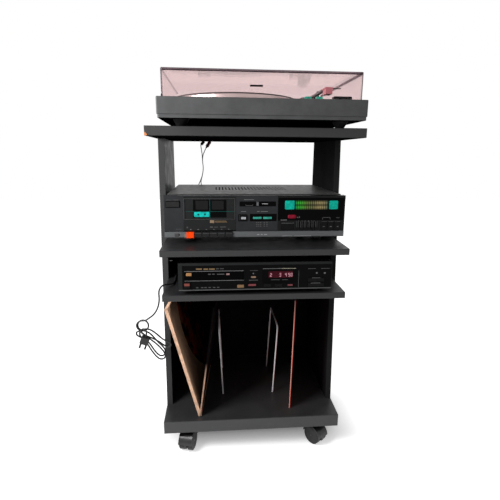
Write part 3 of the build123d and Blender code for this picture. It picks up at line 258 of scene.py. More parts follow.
def key_bed(tree):
    """One round the receiver's tuning and function keys."""
    right, above = beyond(tree, "X", KEY_BED_LEFT), beyond(tree, "Z", KEY_BED_BOTTOM)
    return times(tree, right, above)


def past_cartridge(tree):
    return beyond(tree, "X", CARTRIDGE_END)


def black_plastic(name, base=0.003, roughness=0.3, shine=0.06):
    return look(name, (base, base, base * 1.05), roughness, shine=shine, grain=0.02, edge_mm=0.5)


def fascia_satin(name):
    return look(name, (0.019, 0.020, 0.022), 0.34, shine=0.14, grain=0.03, grain_mm=0.4, edge_mm=0.5)


def deck_plastic():
    """The turntable's grey plinth, with painted shade where it turns under."""
    satin = look("satin_grey_plastic", (0.082, 0.083, 0.084), 0.42, shine=0.18, grain_mm=0.4, edge_mm=0.6)
    return painted_shade_underneath(satin, 0.18, -0.2)


def platter_mat():
    """Dark ribbed rubber, with a painted highlight on the upright sides of its ribs, where they catch light.
    """
    rubber = look("ribbed_rubber", (0.018, 0.018, 0.019), 0.65, shine=0.2, grain=0.08)
    return recolour(rubber, lambda tree: facing(tree, "Z", 0.3), (0.085, 0.083, 0.083))


COVER_SIDE_EDGE = 3.2  # how far the dust cover's dark edges reach in from its sides,
COVER_FRONT_EDGE = 4.2  # from its front and back
COVER_TOP_EDGE = 5.2  # and from its top
COVER_TINT = (0.925, 0.865, 0.865, 1)
COVER_EDGE_TINT = (0.2, 0.15, 0.17, 1)


def cover_edges(tree):
    """One along the dust cover's edges, where its wall is seen end on; fainter at its left top edge, as
    painted light.
    """
    low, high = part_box("dust_cover")
    middle, half = (low + high) / 2, (high - low) / 2
    place = calc_vector(tree, "SUBTRACT", object_place(tree), middle)
    axes = add_node(tree, "SeparateXYZ", {"Vector": place}).outputs
    near_x = calc(tree, "GREATER_THAN", calc(tree, "ABSOLUTE", axes["X"]), half.x - COVER_SIDE_EDGE / 1000)
    near_y = calc(tree, "GREATER_THAN", calc(tree, "ABSOLUTE", axes["Y"]), half.y - COVER_FRONT_EDGE / 1000)
    near_z = calc(tree, "GREATER_THAN", axes["Z"], half.z - COVER_TOP_EDGE / 1000)
    upright = times(tree, near_x, near_y)
    # the top edges over the sides fade towards the left: painted light
    strength = spread(tree, axes["X"], 0.4, 0.9, start=-0.1, stop=0.1)
    side_top = times(tree, near_x, times(tree, strength, near_z))
    front_top = times(tree, near_y, near_z)
    return calc(tree, "MAXIMUM", calc(tree, "MAXIMUM", upright, side_top), front_top)


def clear_cover():
    """Rose-tinted clear acrylic, dark along its edges."""
    material, tree, shader = new_material("rose_acrylic")
    tint = blend_colours(tree, cover_edges(tree), COVER_TINT, COVER_EDGE_TINT)
    clear = add_node(tree, "BsdfTransparent", {"Color": tint}).outputs[0]
    shine = add_node(tree, "BsdfGlossy", {"Color": (1, 1, 1, 1), "Roughness": 0.03}).outputs[0]
    gloss = times(tree, add_node(tree, "Fresnel", {"IOR": 1.35}).outputs[0], 0.3)
    mix = add_node(tree, "MixShader", {0: gloss, 1: clear, 2: shine}).outputs[0]
    tree.links.new(mix, tree.nodes["Material Output"].inputs["Surface"])
    tree.nodes.remove(shader)
    return material


# What each of the record's slots looks like.
looks = {
    # cabinet
    "laminate": laminate_look("charcoal_laminate", (0.033, 0.033, 0.034)),
    "back_board": look("dark_hardboard", (0.005, 0.005, 0.005), 0.8, shine=0.05, grain=0.1, grain_mm=1.2),
    "steel_small": look("zinc_plate", (0.62, 0.62, 0.6), 0.32, metallic=1.0, mottle_mm=6),
    # near-white and barely metallic: a painted reflection standing in for the plated wire's chrome
    "wire": look("plated_wire_painted_reflection", (0.95, 0.95, 0.97), 0.4, metallic=0.1, mottle=0.04, grain=0.01),
    "castor_plastic": look("castor_nylon", (0.02, 0.02, 0.021), 0.3, shine=0.36, edge_mm=0.6),
    "castor_tread": look("castor_tread", (0.011, 0.011, 0.012), 0.5, shine=0.3, grain=0.08, edge_mm=0.5),
    # turntable
    "deck_plastic": deck_plastic(),
    "rubber_foot": look("black_rubber", (0.006, 0.006, 0.006), 0.7, shine=0.1, grain=0.06),
    "platter_metal": look(
        "turned_aluminium", (0.66, 0.65, 0.635), 0.36, metallic=1.0, mottle=0.05, grain=0.01
    ),
    "mat_rubber": platter_mat(),
    "arm_metal": look("arm_satin", (0.16, 0.15, 0.15), 0.32, metallic=0.9, mottle=0.04, grain=0.01),
    "weight_metal": look("brushed_weight", (0.3, 0.3, 0.31), 0.35, metallic=1.0, stretch=(1, 0.05, 1)),
    "shell_plastic": recolour(
        look("cartridge_rose", (1.0, 0.38, 0.44), 0.4, grain=0.03), past_cartridge, (0.02, 0.018, 0.018)
    ),
    "cover_clear": clear_cover(),
    # receiver and CD player
    "key_plastic": black_plastic("key_plastic", 0.014, 0.34, 0.12),
    "case_metal": look(
        "case_paint", (0.072, 0.071, 0.069), 0.42, shine=0.09, mottle=0.05, grain=0.03, grain_mm=0.4,
        edge_mm=0.8,
    ),
    "fascia_dark": fascia_satin("fascia_satin"),
    "trim_silver": look(
        "silver_trim", (0.105, 0.111, 0.115), 0.3, metallic=0.25, shine=0.3, mottle=0.05,
        stretch=(0.1, 1, 1),
    ),
    "window_black": black_plastic("gloss_black", 0.001, 0.15, 0.03),
    "door_plastic": look("smoked_door", (0.014, 0.0145, 0.015), 0.25, shine=0.08, grain=0.01, edge_mm=0.5),
    "cassette_plastic": look("cassette_shell", (0.035, 0.06, 0.065), 0.35, grain=0.03),
    "record_red": look("record_key_red", (1.0, 0.062, 0.004), 0.3, shine=0.1, grain=0.02, edge_mm=0.6),
    "power_red": look("power_key", (0.004, 0.0032, 0.0034), 0.3, shine=0.08, grain=0.02, edge_mm=0.5),
    # sleeves and cords
    "sleeve_card": look("sleeve_card", (0.2, 0.18, 0.16), 0.5),
    "sleeve_red": look("sleeve_red", (0.45, 0.05, 0.05), 0.45),
    "cord_black": look("cord_black", (0.012, 0.012, 0.013), 0.45, shine=0.35, grain=0.03, edge_mm=0.2),
    "lead_grey": look("lead_grey", (0.17, 0.165, 0.16), 0.45, grain=0.02, edge_mm=0.1),
}

# Nodes that look different from the rest of their slot.
node_looks = {
    # The boards are lit and shaded copies of one laminate: their front tones, the side panels' sheen and the
    # base board's lighter top are painted light.
    "top_board": recolour(
        laminate_look("charcoal_laminate_top", (0.036, 0.035, 0.035)), chipped_corner, CHIP_COLOUR
    ),
    "left_side_panel": laminate_look("charcoal_laminate_left", (0.05, 0.05, 0.051), 0.04),
    "right_side_panel": laminate_look("charcoal_laminate_right", (0.026, 0.026, 0.026), 0.0),
    "base_board": laminate_look("charcoal_laminate_base", (0.055, 0.055, 0.056), 0.3, (0.03, 0.03, 0.0305)),
    "receiver_fascia": recolour(fascia_satin("receiver_fascia_satin"), key_bed, (0.0015, 0.0015, 0.0016)),
    "receiver_buttons": black_plastic("receiver_key_plastic", 0.005),
    "cd_case": black_plastic("cd_case_paint", 0.006),
    "cd_fascia": black_plastic("cd_fascia_plastic", 0.003, 0.3, 0.03),
    "cd_tray": black_plastic("cd_tray_plastic", 0.001, 0.3, 0.02),
    "cd_buttons": black_plastic("cd_key_plastic", 0.005),
    "start_key": black_plastic("start_key_plastic", 0.003, 0.4, 0.08),
    "speed_keys": glow("lit_speed_key", (0.035, 0.45, 0.32), 0.35),
}

for name, node in nodes.items():
    slot = node.material_slots[0].material.name.split(".")[0]
    node.material_slots[0].material = node_looks.get(name) or looks[slot]


# ---- building pieces


def new_object(name, data):
    one = bpy.data.objects.new(name, data)
    bpy.context.scene.collection.objects.link(one)
    return one


def new_mesh(name, bm):
    mesh = bpy.data.meshes.new(name)
    bm.to_mesh(mesh)
    bm.free()
    return mesh


def link_piece(name, data, material, body):
    """Link a mesh or a curve as a piece of the object, with its materials, on its body."""
    piece = new_object(name, data)
    for one in material if isinstance(material, list) else [material]:
        data.materials.append(one)
    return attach(piece, body)


def finish_piece(name, bm, material, body, smooth=False):
    """Turn a built mesh into a piece; material is one material or a list of them."""
    bmesh.ops.recalc_face_normals(bm, faces=bm.faces)
    mesh = new_mesh(name, bm)
    if smooth:
        mesh.shade_smooth()
    return link_piece(name, mesh, material, body)


def turns(steps):
    return [2 * math.pi * i / steps for i in range(steps)]


def rounded_corners(width, height, radius, steps=4):
    """A rounded rectangle about (0, 0), anticlockwise."""
    least = 0.01
    radius = max(least, min(radius, width / 2 - least, height / 2 - least))
    points = []
    for quarter, (sx, sz) in enumerate(((1, 1), (-1, 1), (-1, -1), (1, -1))):
        for i in range(steps + 1):
            a = math.pi / 2 * (quarter + i / steps)
            x = sx * (width / 2 - radius) + radius * math.cos(a)
            z = sz * (height / 2 - radius) + radius * math.sin(a)
            points.append((x, z))
    return points


def add_rings(bm, rings):
    """Join rings of points into a closed block, capped at both ends."""
    rings = [[bm.verts.new(p) for p in ring] for ring in rings]
    for low, high in zip(rings, rings[1:]):
        for i in range(len(low)):
            bm.faces.new((low[i - 1], low[i], high[i], high[i - 1]))
    bm.faces.new(rings[0])
    bm.faces.new(rings[-1])


# ---- prints and plates on the units' fronts

PRINT = 0.12  # how far a print stands proud of what it lies on
PLATE = 0.3  # thickness of prints and plates

Face = namedtuple("Face", "middle front bottom body")


def face(unit, front=None, body=ROOT):
    """A unit's own coordinates, on the front of one of its nodes and riding on that node's body."""
    low, high = box_mm(unit)
    return Face((low.x + high.x) / 2, box_mm(front or unit)[0].y, low.z, body)


def plates(name, on, rects, material, proud=0.1, thick=PLATE, corner=0.4, ease=0.12):
    """One piece of several plates on a Face, each given as (left, right, bottom, top).

    A plate has rounded corners, and its front edge is eased.
    """
    bm = bmesh.new()
    front = on.front - proud
    for left, right, bottom, top in rects:
        x, z = on.middle + (left + right) / 2, on.bottom + (bottom + top) / 2
        rings = []
        for inset, y in ((0, front + thick), (0, front + ease), (ease, front)):
            outline = rounded_corners(right - left - 2 * inset, top - bottom - 2 * inset, corner)
            rings.append([mm(x + dx, y, z + dz) for dx, dz in outline])
        add_rings(bm, rings)
    return finish_piece(name, bm, material, on.body)


def marks(name, on, rects, material, proud=PRINT):
    return plates(name, on, rects, material, proud, PLATE, corner=0.3, ease=0.05)


def frame_rects(left, right, bottom, top, wide):
    return [
        (left, right, top - wide, top),
        (left, right, bottom, bottom + wide),
        (left, left + wide, bottom + wide, top - wide),
        (right - wide, right, bottom + wide, top - wide),
    ]


def add_disc(bm, on, x, z, radius, proud, thick, ease=0.15):
    x, front, z = on.middle + x, on.front - proud, on.bottom + z
    rings = []
    for r, y in ((radius, front + thick), (radius, front + ease), (radius - ease, front)):
        rings.append([mm(x + r * math.cos(a), y, z + r * math.sin(a)) for a in turns(24)])
    add_rings(bm, rings)


def dome(name, on, x, z, width, height, rise, material):
    """A lens that stands out of the front as a flat dome."""
    bm = bmesh.new()
    rings = []
    for share, out in ((1.0, 0.0), (0.97, 0.35), (0.85, 0.7), (0.6, 0.92), (0.25, 1.0)):
        corner = min(width, height) * share * 0.49
        outline = rounded_corners(width * share, height * share, corner, steps=6)
        y = on.front - rise * out
        rings.append([mm(on.middle + x + dx, y, on.bottom + z + dz) for dx, dz in outline])
    rings.insert(0, [p + mm(0, PLATE, 0) for p in rings[0]])
    add_rings(bm, rings)
    return finish_piece(name, bm, material, on.body, smooth=True)


# ---- cords

MAINS_DIAMETER = 4.0
WIRE_DIAMETER = 2.5

MAINS_ROUTE = [
    (-150, 132, 485), (-150, 149, 485), (-157, 167, 479.5), (-174, 176, 470.5), (-190, 167, 465),
    (-197.5, 148, 464.3), (-196, 112, 464.3), (-199, 68, 464.3), (-196.5, 22, 464.3), (-200.5, -24, 464.3),
    (-197.5, -62, 464.3), (-199.5, -88, 464.8), (-204.5, -104, 467.5), (-212, -115, 471),
    (-221.5, -122, 471.5), (-229, -126, 464.5), (-231.5, -127, 453), (-230.6, -127, 439),
    (-232.8, -126, 423), (-238.5, -123.5, 407.5), (-247.5, -121, 394), (-258.5, -119, 385.3),
    (-269.5, -118.4, 377.8),
]
# The hank: two turns as its neck, then three loose loops of different length, out to the plug.
HANK = [
    (-279, -117.6, 378.2), (-286.5, -117, 374.6), (-290.9, -116.5, 368.3), (-291.2, -116, 360.6),
    (-287.5, -115.5, 353.9), (-281, -115, 350), (-273.6, -114.6, 349.4), (-266.8, -114.2, 352.6),
    (-262.8, -113.9, 358.9), (-262.4, -113.6, 366.2), (-265.6, -113.2, 373), (-271.8, -112.8, 377.2),
    (-279.3, -112.3, 377.4), (-285.6, -111.8, 373.4), (-289.2, -111.3, 367.2), (-289.6, -110.8, 360.5),
    (-287.6, -110.3, 354), (-281.5, -109.9, 349.5), (-273.5, -109.7, 347), (-264, -109.6, 342.6),
    (-255.5, -109.5, 334.5), (-248.5, -109.5, 324.5), (-240.6, -109.6, 314.2), (-231.8, -109.8, 305.3),
    (-224.6, -110.5, 295.5), (-223.3, -111.5, 285.3), (-229.5, -112.5, 277.9), (-238.8, -113.3, 279.6),
    (-245.8, -113.8, 287.3), (-252.5, -114, 297.5), (-258.2, -114, 308.2), (-265.2, -114, 319),
    (-274, -114.2, 327.5), (-284.4, -114.8, 333), (-292.5, -115.8, 338.6), (-293.2, -116.8, 346.6),
    (-286.5, -117.6, 350.6), (-278.5, -118, 346.2), (-271, -118.1, 338.2), (-262, -118.1, 330.4),
    (-251.5, -118.1, 321.4), (-242.4, -118.1, 312.6), (-234.4, -118.1, 303.4), (-226.8, -118.2, 292.8),
    (-221.9, -118.8, 281.9), (-227, -119.7, 273), (-237.1, -120.6, 273.2), (-245.4, -121.5, 281.4),
    (-252, -122.2, 291.6), (-258.8, -122.5, 303), (-264.4, -122.6, 315), (-272.5, -122.7, 326.4),
    (-281.6, -122.9, 336.5), (-284.4, -123.3, 347.6), (-277.8, -124, 356), (-267.6, -124.6, 359.4),
    (-256.5, -125, 357), (-247.3, -125.2, 350.4), (-238.6, -125.3, 342.4), (-230.5, -125.4, 333.5),
    (-221, -125.5, 326.4), (-210.5, -125.6, 322), (-206.4, -125.8, 314), (-212.2, -126, 308.2),
    (-221.5, -126.1, 312), (-231, -126.2, 320), (-241.2, -126.3, 328), (-251.8, -126.5, 334.4),
    (-262.4, -127.2, 339.4), (-272.8, -128.6, 345.6), (-279, -130.4, 354), (-275.4, -132.2, 362.8),
    (-266.8, -133.8, 362.3), (-263.6, -134.7, 352.8), (-266.4, -135, 341.5),
]
PHONO_ROUTES = {
    "red_lower": [
        (-150, 213, 667), (-149.8, 215.5, 674.5), (-147.3, 219, 683), (-141.2, 221.6, 695),
        (-133, 222, 714), (-128.4, 222, 738), (-131.3, 222, 762), (-129.5, 222, 779), (-124.6, 222, 790),
        (-119.6, 222, 800.5),
    ],
    "black_lower": [
        (-130, 213, 667), (-130.8, 216.5, 675), (-134.6, 221, 684), (-138.2, 225, 697),
        (-132.2, 225.6, 717), (-128.8, 225.4, 739), (-131.2, 225, 762), (-131.6, 224, 781),
        (-134.2, 222.6, 797), (-135.5, 222, 808.8),
    ],
    "red_upper": [
        (-112, 143.5, 857.25), (-112.1, 158.5, 853.6), (-112.4, 173, 845.5), (-112.6, 187, 843),
        (-112.3, 200, 846), (-111.2, 211, 850.5), (-109.3, 220, 847.5), (-106.2, 222.6, 836.6),
        (-103.8, 222, 824.6),
    ],
    "black_upper": [
        (-121, 143.5, 857.25), (-121.2, 158.5, 853.6), (-122, 173, 845.5), (-123.2, 187, 843),
        (-124.8, 200, 846), (-126.1, 211, 850.5), (-126.2, 220, 848), (-124.9, 222.6, 836.5),
        (-123.5, 222, 822.6),
    ],
}

# Outlines of the plugs, from the top or the back on: (share of the length, share of the radius).
IN_LINE = (
    (0.0, 0.30), (0.02, 0.44), (0.16, 0.56), (0.18, 0.80), (0.22, 0.98), (0.42, 1.0), (0.44, 0.88),
    (0.52, 0.88), (0.54, 1.0), (0.80, 0.98), (0.84, 0.78), (0.86, 0.52), (0.98, 0.42), (1.0, 0.30),
)
RIGHT_ANGLE = (
    (0.0, 0.7), (0.02, 0.86), (0.34, 1.0), (0.36, 0.92), (0.44, 0.92), (0.46, 1.0), (0.96, 1.0),
    (1.0, 0.86),
)
RED_PLUG_RADIUS = 5.2
BLACK_PLUG_RADIUS = 4.8
ANGLE_PLUG_RADIUS = 5.0
ANGLE_PLUG_BACK = 4.0  # how far an angle plug reaches behind its wire
ANGLE_PLUG_FRONT = 3.8  # and in front of it, to the socket


def cord(name, route, diameter, slot):
    """A free cord on one NURBS spline through its route's own points."""
    curve = bpy.data.curves.new(name, "CURVE")
    curve.dimensions = "3D"
    curve.bevel_depth = diameter / 2000
    curve.bevel_resolution = 5
    curve.resolution_u = 10
    spline = curve.splines.new("NURBS")
    spline.points.add(len(route) - 1)
    for point, place in zip(spline.points, route):
        point.co = (*mm(*place), 1)
    spline.order_u = 3
    spline.use_endpoint_u = True
    return link_piece(name, curve, looks[slot], ROOT)


def plug_piece(name, start, end, radius, profile, material):
    """A phono plug turned about its axis."""
    start, end = Vector(start), Vector(end)
    axis = (end - start).normalized()
    across = axis.orthogonal().normalized()
    other = axis.cross(across)
    bm = bmesh.new()
    rings = []
    for share, wide in profile:
        middle = start.lerp(end, share)
        spokes = [across * math.cos(a) + other * math.sin(a) for a in turns(20)]
        rings.append([(middle + spoke * radius * wide) / 1000 for spoke in spokes])
    add_rings(bm, rings)
    piece = finish_piece(name, bm, material, ROOT, smooth=True)
    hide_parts("phono_plugs")
    return piece


def in_line_plug(colour, radius, material):
    """The plug that hangs between a colour's upper and lower wire."""
    ends = PHONO_ROUTES[colour + "_upper"][-1], PHONO_ROUTES[colour + "_lower"][-1]
    return plug_piece("phono_plug_" + colour, *ends, radius, IN_LINE, material)


def angle_plug(colour, material):
    """The plug in the receiver's socket, which the lower wire leaves upwards."""
    x, y, z = PHONO_ROUTES[colour + "_lower"][0]
    middle = z - ANGLE_PLUG_RADIUS
    back, front = (x, y + ANGLE_PLUG_BACK, middle), (x, y - ANGLE_PLUG_FRONT, middle)
    plug_piece("phono_angle_plug_" + colour, back, front, ANGLE_PLUG_RADIUS, RIGHT_ANGLE, material)


dark_red = look("dark_red_plastic", (0.07, 0.004, 0.010), 0.4, shine=0.15)
PLUGS = {
    "red": in_line_plug("red", RED_PLUG_RADIUS, dark_red),
    "black": in_line_plug("black", BLACK_PLUG_RADIUS, looks["cord_black"]),
}
angle_plug("red", dark_red)
angle_plug("black", looks["cord_black"])

mains_cord = cord("mains_lead", MAINS_ROUTE + HANK, MAINS_DIAMETER, "cord_black")
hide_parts("mains_cord", "mains_hank")
for name, route in PHONO_ROUTES.items():
    wire = cord("phono_wire_" + name, route, WIRE_DIAMETER, "lead_grey")
    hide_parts("phono_lead")

# ---- sleeves

BASE_TOP = 100.3  # the sleeves stand a hair above the base board
SLEEVE = 315.0  # a 12 inch sleeve's side
SWELL = 0.08  # a leaf is thinner by this share at its border than in its middle
LEAF_STEPS = 10
GATEFOLD_AT = (-139, -120)  # the fold's place
GATEFOLD_YAW = 4.5
GATEFOLD_LIFT = 2.0
LEFT_LEAN = -14.7
LEFT_THICK = 9.0
RIGHT_LEAN = 7.4
RIGHT_THICK = 4.0
SINGLE_AT = (106, -99.5)
SINGLE_YAW = 12
SINGLE_LEAN = 1.1
SINGLE_THICK = 3.5
PRINT_WRAP = 0.2  # how far the single sleeve's print reaches past the middle of its edge
PRINT_FOOT = 42  # the inner print starts this far in front of Y = 0
PRINT_FOOT_Z = 305  # at this height
PRINT_CURVE = 4.6  # and its edge curves back above and below it
EDGE_PALE_TO = 218  # the gatefold's right edge is pale up to here
EDGE_DARK_FROM = 256  # and dark from here on


def printed_card(name, plain):
    """A gatefold's inner face: plain card up to a curved line, a dark red print behind it."""
    material = look(name, plain, 0.45, shine=0.2, mottle=0.16, mottle_mm=45, grain=0.04, grain_mm=0.8)
    tree = material.node_tree
    place = object_place(tree)
    up = calc(tree, "SUBTRACT", along(tree, place, "Z"), PRINT_FOOT_Z / 1000)
    curve = times(tree, times(tree, up, up), PRINT_CURVE)
    line = calc(tree, "SUBTRACT", curve, PRINT_FOOT / 1000)
    behind = calc(tree, "GREATER_THAN", along(tree, place, "Y"), line)
    blotches = spread(tree, noise(tree, place, 60, 3), 0, 1, 0.47, 0.56)
    dark = blend_colours(tree, blotches, (0.005, 0.003, 0.004, 1), (0.42, 0.03, 0.012, 1))
    flecks = spread(tree, noise(tree, place, 22, 2), 0, 1, 0.58, 0.64)
    dark = blend_colours(tree, flecks, dark, (0.28, 0.09, 0.045, 1))
    return paint_over(material, behind, dark)


def dark_up_the_edge(tree):
    up = along(tree, object_place(tree), "Z")
    return spread(tree, up, 0, 1, EDGE_PALE_TO / 1000, EDGE_DARK_FROM / 1000)


def leaf_turn(yaw, lean):
    """Turn of an upright leaf in the YZ plane: leant over sideways, then turned clockwise from above."""
    return Matrix.Rotation(-math.radians(yaw), 3, "Z") @ Matrix.Rotation(math.radians(lean), 3, "Y")


def printed_half(tree):
    """One on the half of the single sleeve's thickness where the red print wraps round its edge."""
    foot = mm(*SINGLE_AT, BASE_TOP)
    across = leaf_turn(SINGLE_YAW, SINGLE_LEAN) @ Vector((1, 0, 0))
    gap = calc_vector(tree, "SUBTRACT", object_place(tree), foot)
    rightwards = calc_vector(tree, "DOT_PRODUCT", gap, across, result="Value")
    return calc(tree, "GREATER_THAN", rightwards, -PRINT_WRAP / 1000)


def card_edge(name, colour, roughness=0.6, shine=0.2, mottle=0.16, mottle_mm=12):
    return look(name, colour, roughness, 0, shine, mottle, mottle_mm, grain=0.1, grain_mm=0.5)


def add_leaf(bm, at, yaw, lean, thick, lift, edge, left, right):
    """One sleeve or gatefold leaf: an upright card box, bulged a little by the record in it.

    edge, left and right are the material indices of its border and of its two faces.
    """
    turn = leaf_turn(yaw, lean)
    foot = Vector((*at, BASE_TOP + lift))
    grid = {}
    for i in range(LEAF_STEPS + 1):
        for j in range(LEAF_STEPS + 1):
            u, v = i / LEAF_STEPS, j / LEAF_STEPS
            fullness = (16 * u * (1 - u) * v * (1 - v)) ** 0.4
            half = thick / 2 * (1 - SWELL + SWELL * fullness)
            for side in (-1, 1):
                point = turn @ Vector((side * half, u * SLEEVE, v * (SLEEVE - lift)))
                grid[i, j, side] = bm.verts.new((foot + point) / 1000)
    for side, index in ((-1, left), (1, right)):
        for i in range(LEAF_STEPS):
            for j in range(LEAF_STEPS):
                corners = ((i, j), (i + 1, j), (i + 1, j + 1), (i, j + 1))
                patch = bm.faces.new([grid[a, b, side] for a, b in corners])
                patch.material_index = index
                patch.smooth = True
    up, down = range(LEAF_STEPS), range(LEAF_STEPS, 0, -1)
    border = [(i, 0) for i in up] + [(LEAF_STEPS, j) for j in up]
    border += [(i, LEAF_STEPS) for i in down] + [(0, j) for j in down]
    for a, b in zip(border, border[1:] + border[:1]):
        strip = bm.faces.new([grid[*a, -1], grid[*b, -1], grid[*b, 1], grid[*a, 1]])
        strip.material_index = edge


def gatefold():
    """The open double sleeve: two leaves that meet at a fold in front."""
    edge_left = card_edge("card_edge_cream", (0.80, 0.50, 0.34))
    outer = look("gatefold_outer", (0.007, 0.0045, 0.0045), 0.5, 0, 0.04, mottle=0.25, mottle_mm=40)
    inner = printed_card("gatefold_inner", (0.55, 0.33, 0.21))
    # The right leaf's edge is a darker copy of the cream edge: painted shade.
    edge_right = card_edge("card_edge_shaded", (0.50, 0.31, 0.22), shine=0.02)
    recolour(edge_right, dark_up_the_edge, (0.001, 0.0007, 0.0007))
    bm = bmesh.new()
    fold = (bm, GATEFOLD_AT, GATEFOLD_YAW)
    add_leaf(*fold, LEFT_LEAN, LEFT_THICK, GATEFOLD_LIFT, edge=0, left=1, right=2)
    add_leaf(*fold, RIGHT_LEAN, RIGHT_THICK, GATEFOLD_LIFT, edge=3, left=1, right=1)
    cards = [edge_left, outer, inner, edge_right]
    piece = finish_piece("gatefold_printed", bm, cards, "gatefold")
    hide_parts("gatefold_sleeve")


def single_sleeve():
    edge = card_edge("card_edge_pink", (0.80, 0.46, 0.38), 0.55, mottle=0.12, mottle_mm=8)
    recolour(edge, printed_half, (0.55, 0.045, 0.02))
    red = look("sleeve_print_red", (0.5, 0.026, 0.012), 0.38, shine=0.15, mottle=0.5, mottle_mm=60)
    bm = bmesh.new()
    add_leaf(bm, SINGLE_AT, SINGLE_YAW, SINGLE_LEAN, SINGLE_THICK, 0.0, edge=0, left=1, right=1)
    piece = finish_piece("record_sleeve_printed", bm, [edge, red], "single_sleeve")
    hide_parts("record_sleeve")


gatefold()
single_sleeve()

# ---- inks and lamps


def ink(name, colour, roughness=0.5, edge_mm=0.05, **more):
    return look(name, colour, roughness, edge_mm=edge_mm, **more)


teal = glow("lit_teal", (0.002, 0.275, 0.205), 0.5)
teal_dim = glow("lit_teal_dim", (0.004, 0.06, 0.05), 0.3)
rose_glow = glow("lit_rose", (0.17, 0.006, 0.018), 0.25)
# a painted highlight for the tone slider's slot
painted_slot_highlight = ink("painted_slot_highlight", (0.42, 0.42, 0.41))
grey = ink("grey_ink", (0.11, 0.11, 0.112))
faint = ink("faint_ink", (0.045, 0.045, 0.047))
amber_ink = ink("amber_ink", (0.16, 0.095, 0.035))
amber_plate = ink("amber_plate", (0.34, 0.16, 0.05), 0.4, 0.1)
red_ink = ink("red_ink", (0.15, 0.018, 0.022), 0.45, 0.1)
bronze = ink("bronze_plate", (0.24, 0.165, 0.10), 0.4, 0.1, metallic=0.5)
# Near-black for the windows and display surrounds, and painted shade in the slider's slot, round the power
# and mode keys and in the pin holes.
black_and_gap_shade = black_plastic("black_and_painted_gap_shade", 0.0015, 0.6, 0.03)

# ---- receiver details

RECEIVER = face("receiver_trim_strip")
DOOR = face("receiver_trim_strip", "cassette_door", "cassette_lid")
PANE = DOOR._replace(front=DOOR.front + 1.0)  # the smoked pane lies 1 mm behind the door's front
WINDOW = face("receiver_trim_strip", "tuner_window")
BUTTONS = face("receiver_trim_strip", "receiver_buttons", "receiver_button_caps")
TAPE_KEYS = ("record", "play", "rewind", "forward", "stop", "pause")
ON_BUTTON = 0.15  # how far a print on a button stands proud

# The tuning and function buttons, as shares of the receiver's width from its left edge.
PRESETS = (0.7359, 0.02115, 6)  # the first one's middle, the pitch and the count
FUNCTIONS = (0.8828, 0.03908, 3)

# The lit tuning scale: its plate, its lit stretch and the pitch of its bars and rows.
SCALE = (94.5, 175, 66.6, 88)
SCALE_LIT = (93, 175)
BAR_PITCH = 4.6
ROW_PITCH = 10.6
SCALE_COLOURS = (
    (0.0, (0.004, 0.09, 0.05)), (0.1, (0.02, 0.33, 0.03)), (0.22, (0.05, 0.30, 0.03)),
    (0.36, (0.10, 0.16, 0.03)), (0.55, (0.13, 0.13, 0.05)), (0.75, (0.30, 0.24, 0.10)),
    (0.92, (0.20, 0.17, 0.09)), (1.0, (0.01, 0.09, 0.06)),
)


def button_middles(first, pitch, count):
    low, high = box_mm("receiver_fascia")
    return [(first + pitch * i - 0.5) * (high.x - low.x) for i in range(count)]


def colour_ramp(tree, value, stops):
    ramp = add_node(tree, "ValToRGB", {"Fac": value})
    elements = ramp.color_ramp.elements
    while len(elements) < len(stops):
        elements.new(0.5)
    for element, (place, colour) in zip(elements, stops):
        element.position = place
        element.color = (*colour, 1)
    return ramp.outputs["Color"]


def stripes(tree, value, pitch):
    """A wave between -1 and 1 that repeats every pitch millimetres."""
    return calc(tree, "SINE", times(tree, value, 2000 * math.pi / pitch))


def tuner_glow():
    """The lit scale: bars from green at its left over olive and amber to cream, dim between them."""
    material, tree, shader = new_material("lit_scale")
    axes = add_node(tree, "SeparateXYZ", {"Vector": object_place(tree)}).outputs
    start, stop = ((RECEIVER.middle + x) / 1000 for x in SCALE_LIT)
    colours = colour_ramp(tree, spread(tree, axes["X"], 0, 1, start, stop), SCALE_COLOURS)
    bars = spread(tree, stripes(tree, axes["X"], BAR_PITCH), 0.25, 1, -0.4, 0.5)
    rows = spread(tree, stripes(tree, axes["Z"], ROW_PITCH), 0.35, 1, -0.6, 0.6)
    light = {0: colours, "Scale": times(tree, bars, rows)}
    lit = add_node(tree, "VectorMath", light, operation="SCALE").outputs["Vector"]
    finish_glow(tree, shader, lit, strength=0.5, shine=0.1)
    return material


def cassette_door():
    """The door's frame line and badge, and the lit cassette behind its pane."""
    marks("door_frame", DOOR, frame_rects(-171.3, -50.1, 43.5, 93.3, 0.8), faint, 0.15)
    plates("door_windows", PANE, [(-149, -70.3, 47.9, 90.3)], black_and_gap_shade, 0.2, 0.4, corner=1)
    card = look("cassette_card", (0.0065, 0.006, 0.0065), 0.5, shine=0.1)
    labels = [(-143, -114, 67, 88), (-105, -77, 67, 88)]
    plates("cassette_label", PANE, labels, card, 0.3, 0.4, corner=1.5)
    lit = glow("lit_cassette", (0.006, 0.31, 0.285), 0.5)
    plates("cassette_lit", PANE, [(-147.1, -110.6, 49.6, 61.5)], lit, 0.4, 0.4, corner=2.5)
    marks("cassette_lines", PANE, [(-110.2, -109, 45, 92.5), (-170.3, -50.4, 62, 62.9)], teal_dim, 0.45)
    bm = bmesh.new()
    for x in (-137, -121.5):
        add_disc(bm, PANE, x, 55.5, radius=2.4, proud=0.6, thick=0.5)
    finish_piece("cassette_hubs", bm, teal_dim, PANE.body)
    plates("door_badge", DOOR, [(-109.9, -99.5, 34.9, 41.6)], bronze, 0.3, 0.4, corner=0.8)
    marks("door_badge_lines", DOOR, [(-97.5, -69.5, 36.4, 38), (-97.5, -71, 39, 40.2)], amber_ink)
    small = [(-109.9, -103, 23.5, 26.6), (-100.4, -91, 24.3, 25.9), (-86, -72, 24, 26.4)]
    marks("door_marks", DOOR, small + [(-165.4, -162, 23, 26)], faint)


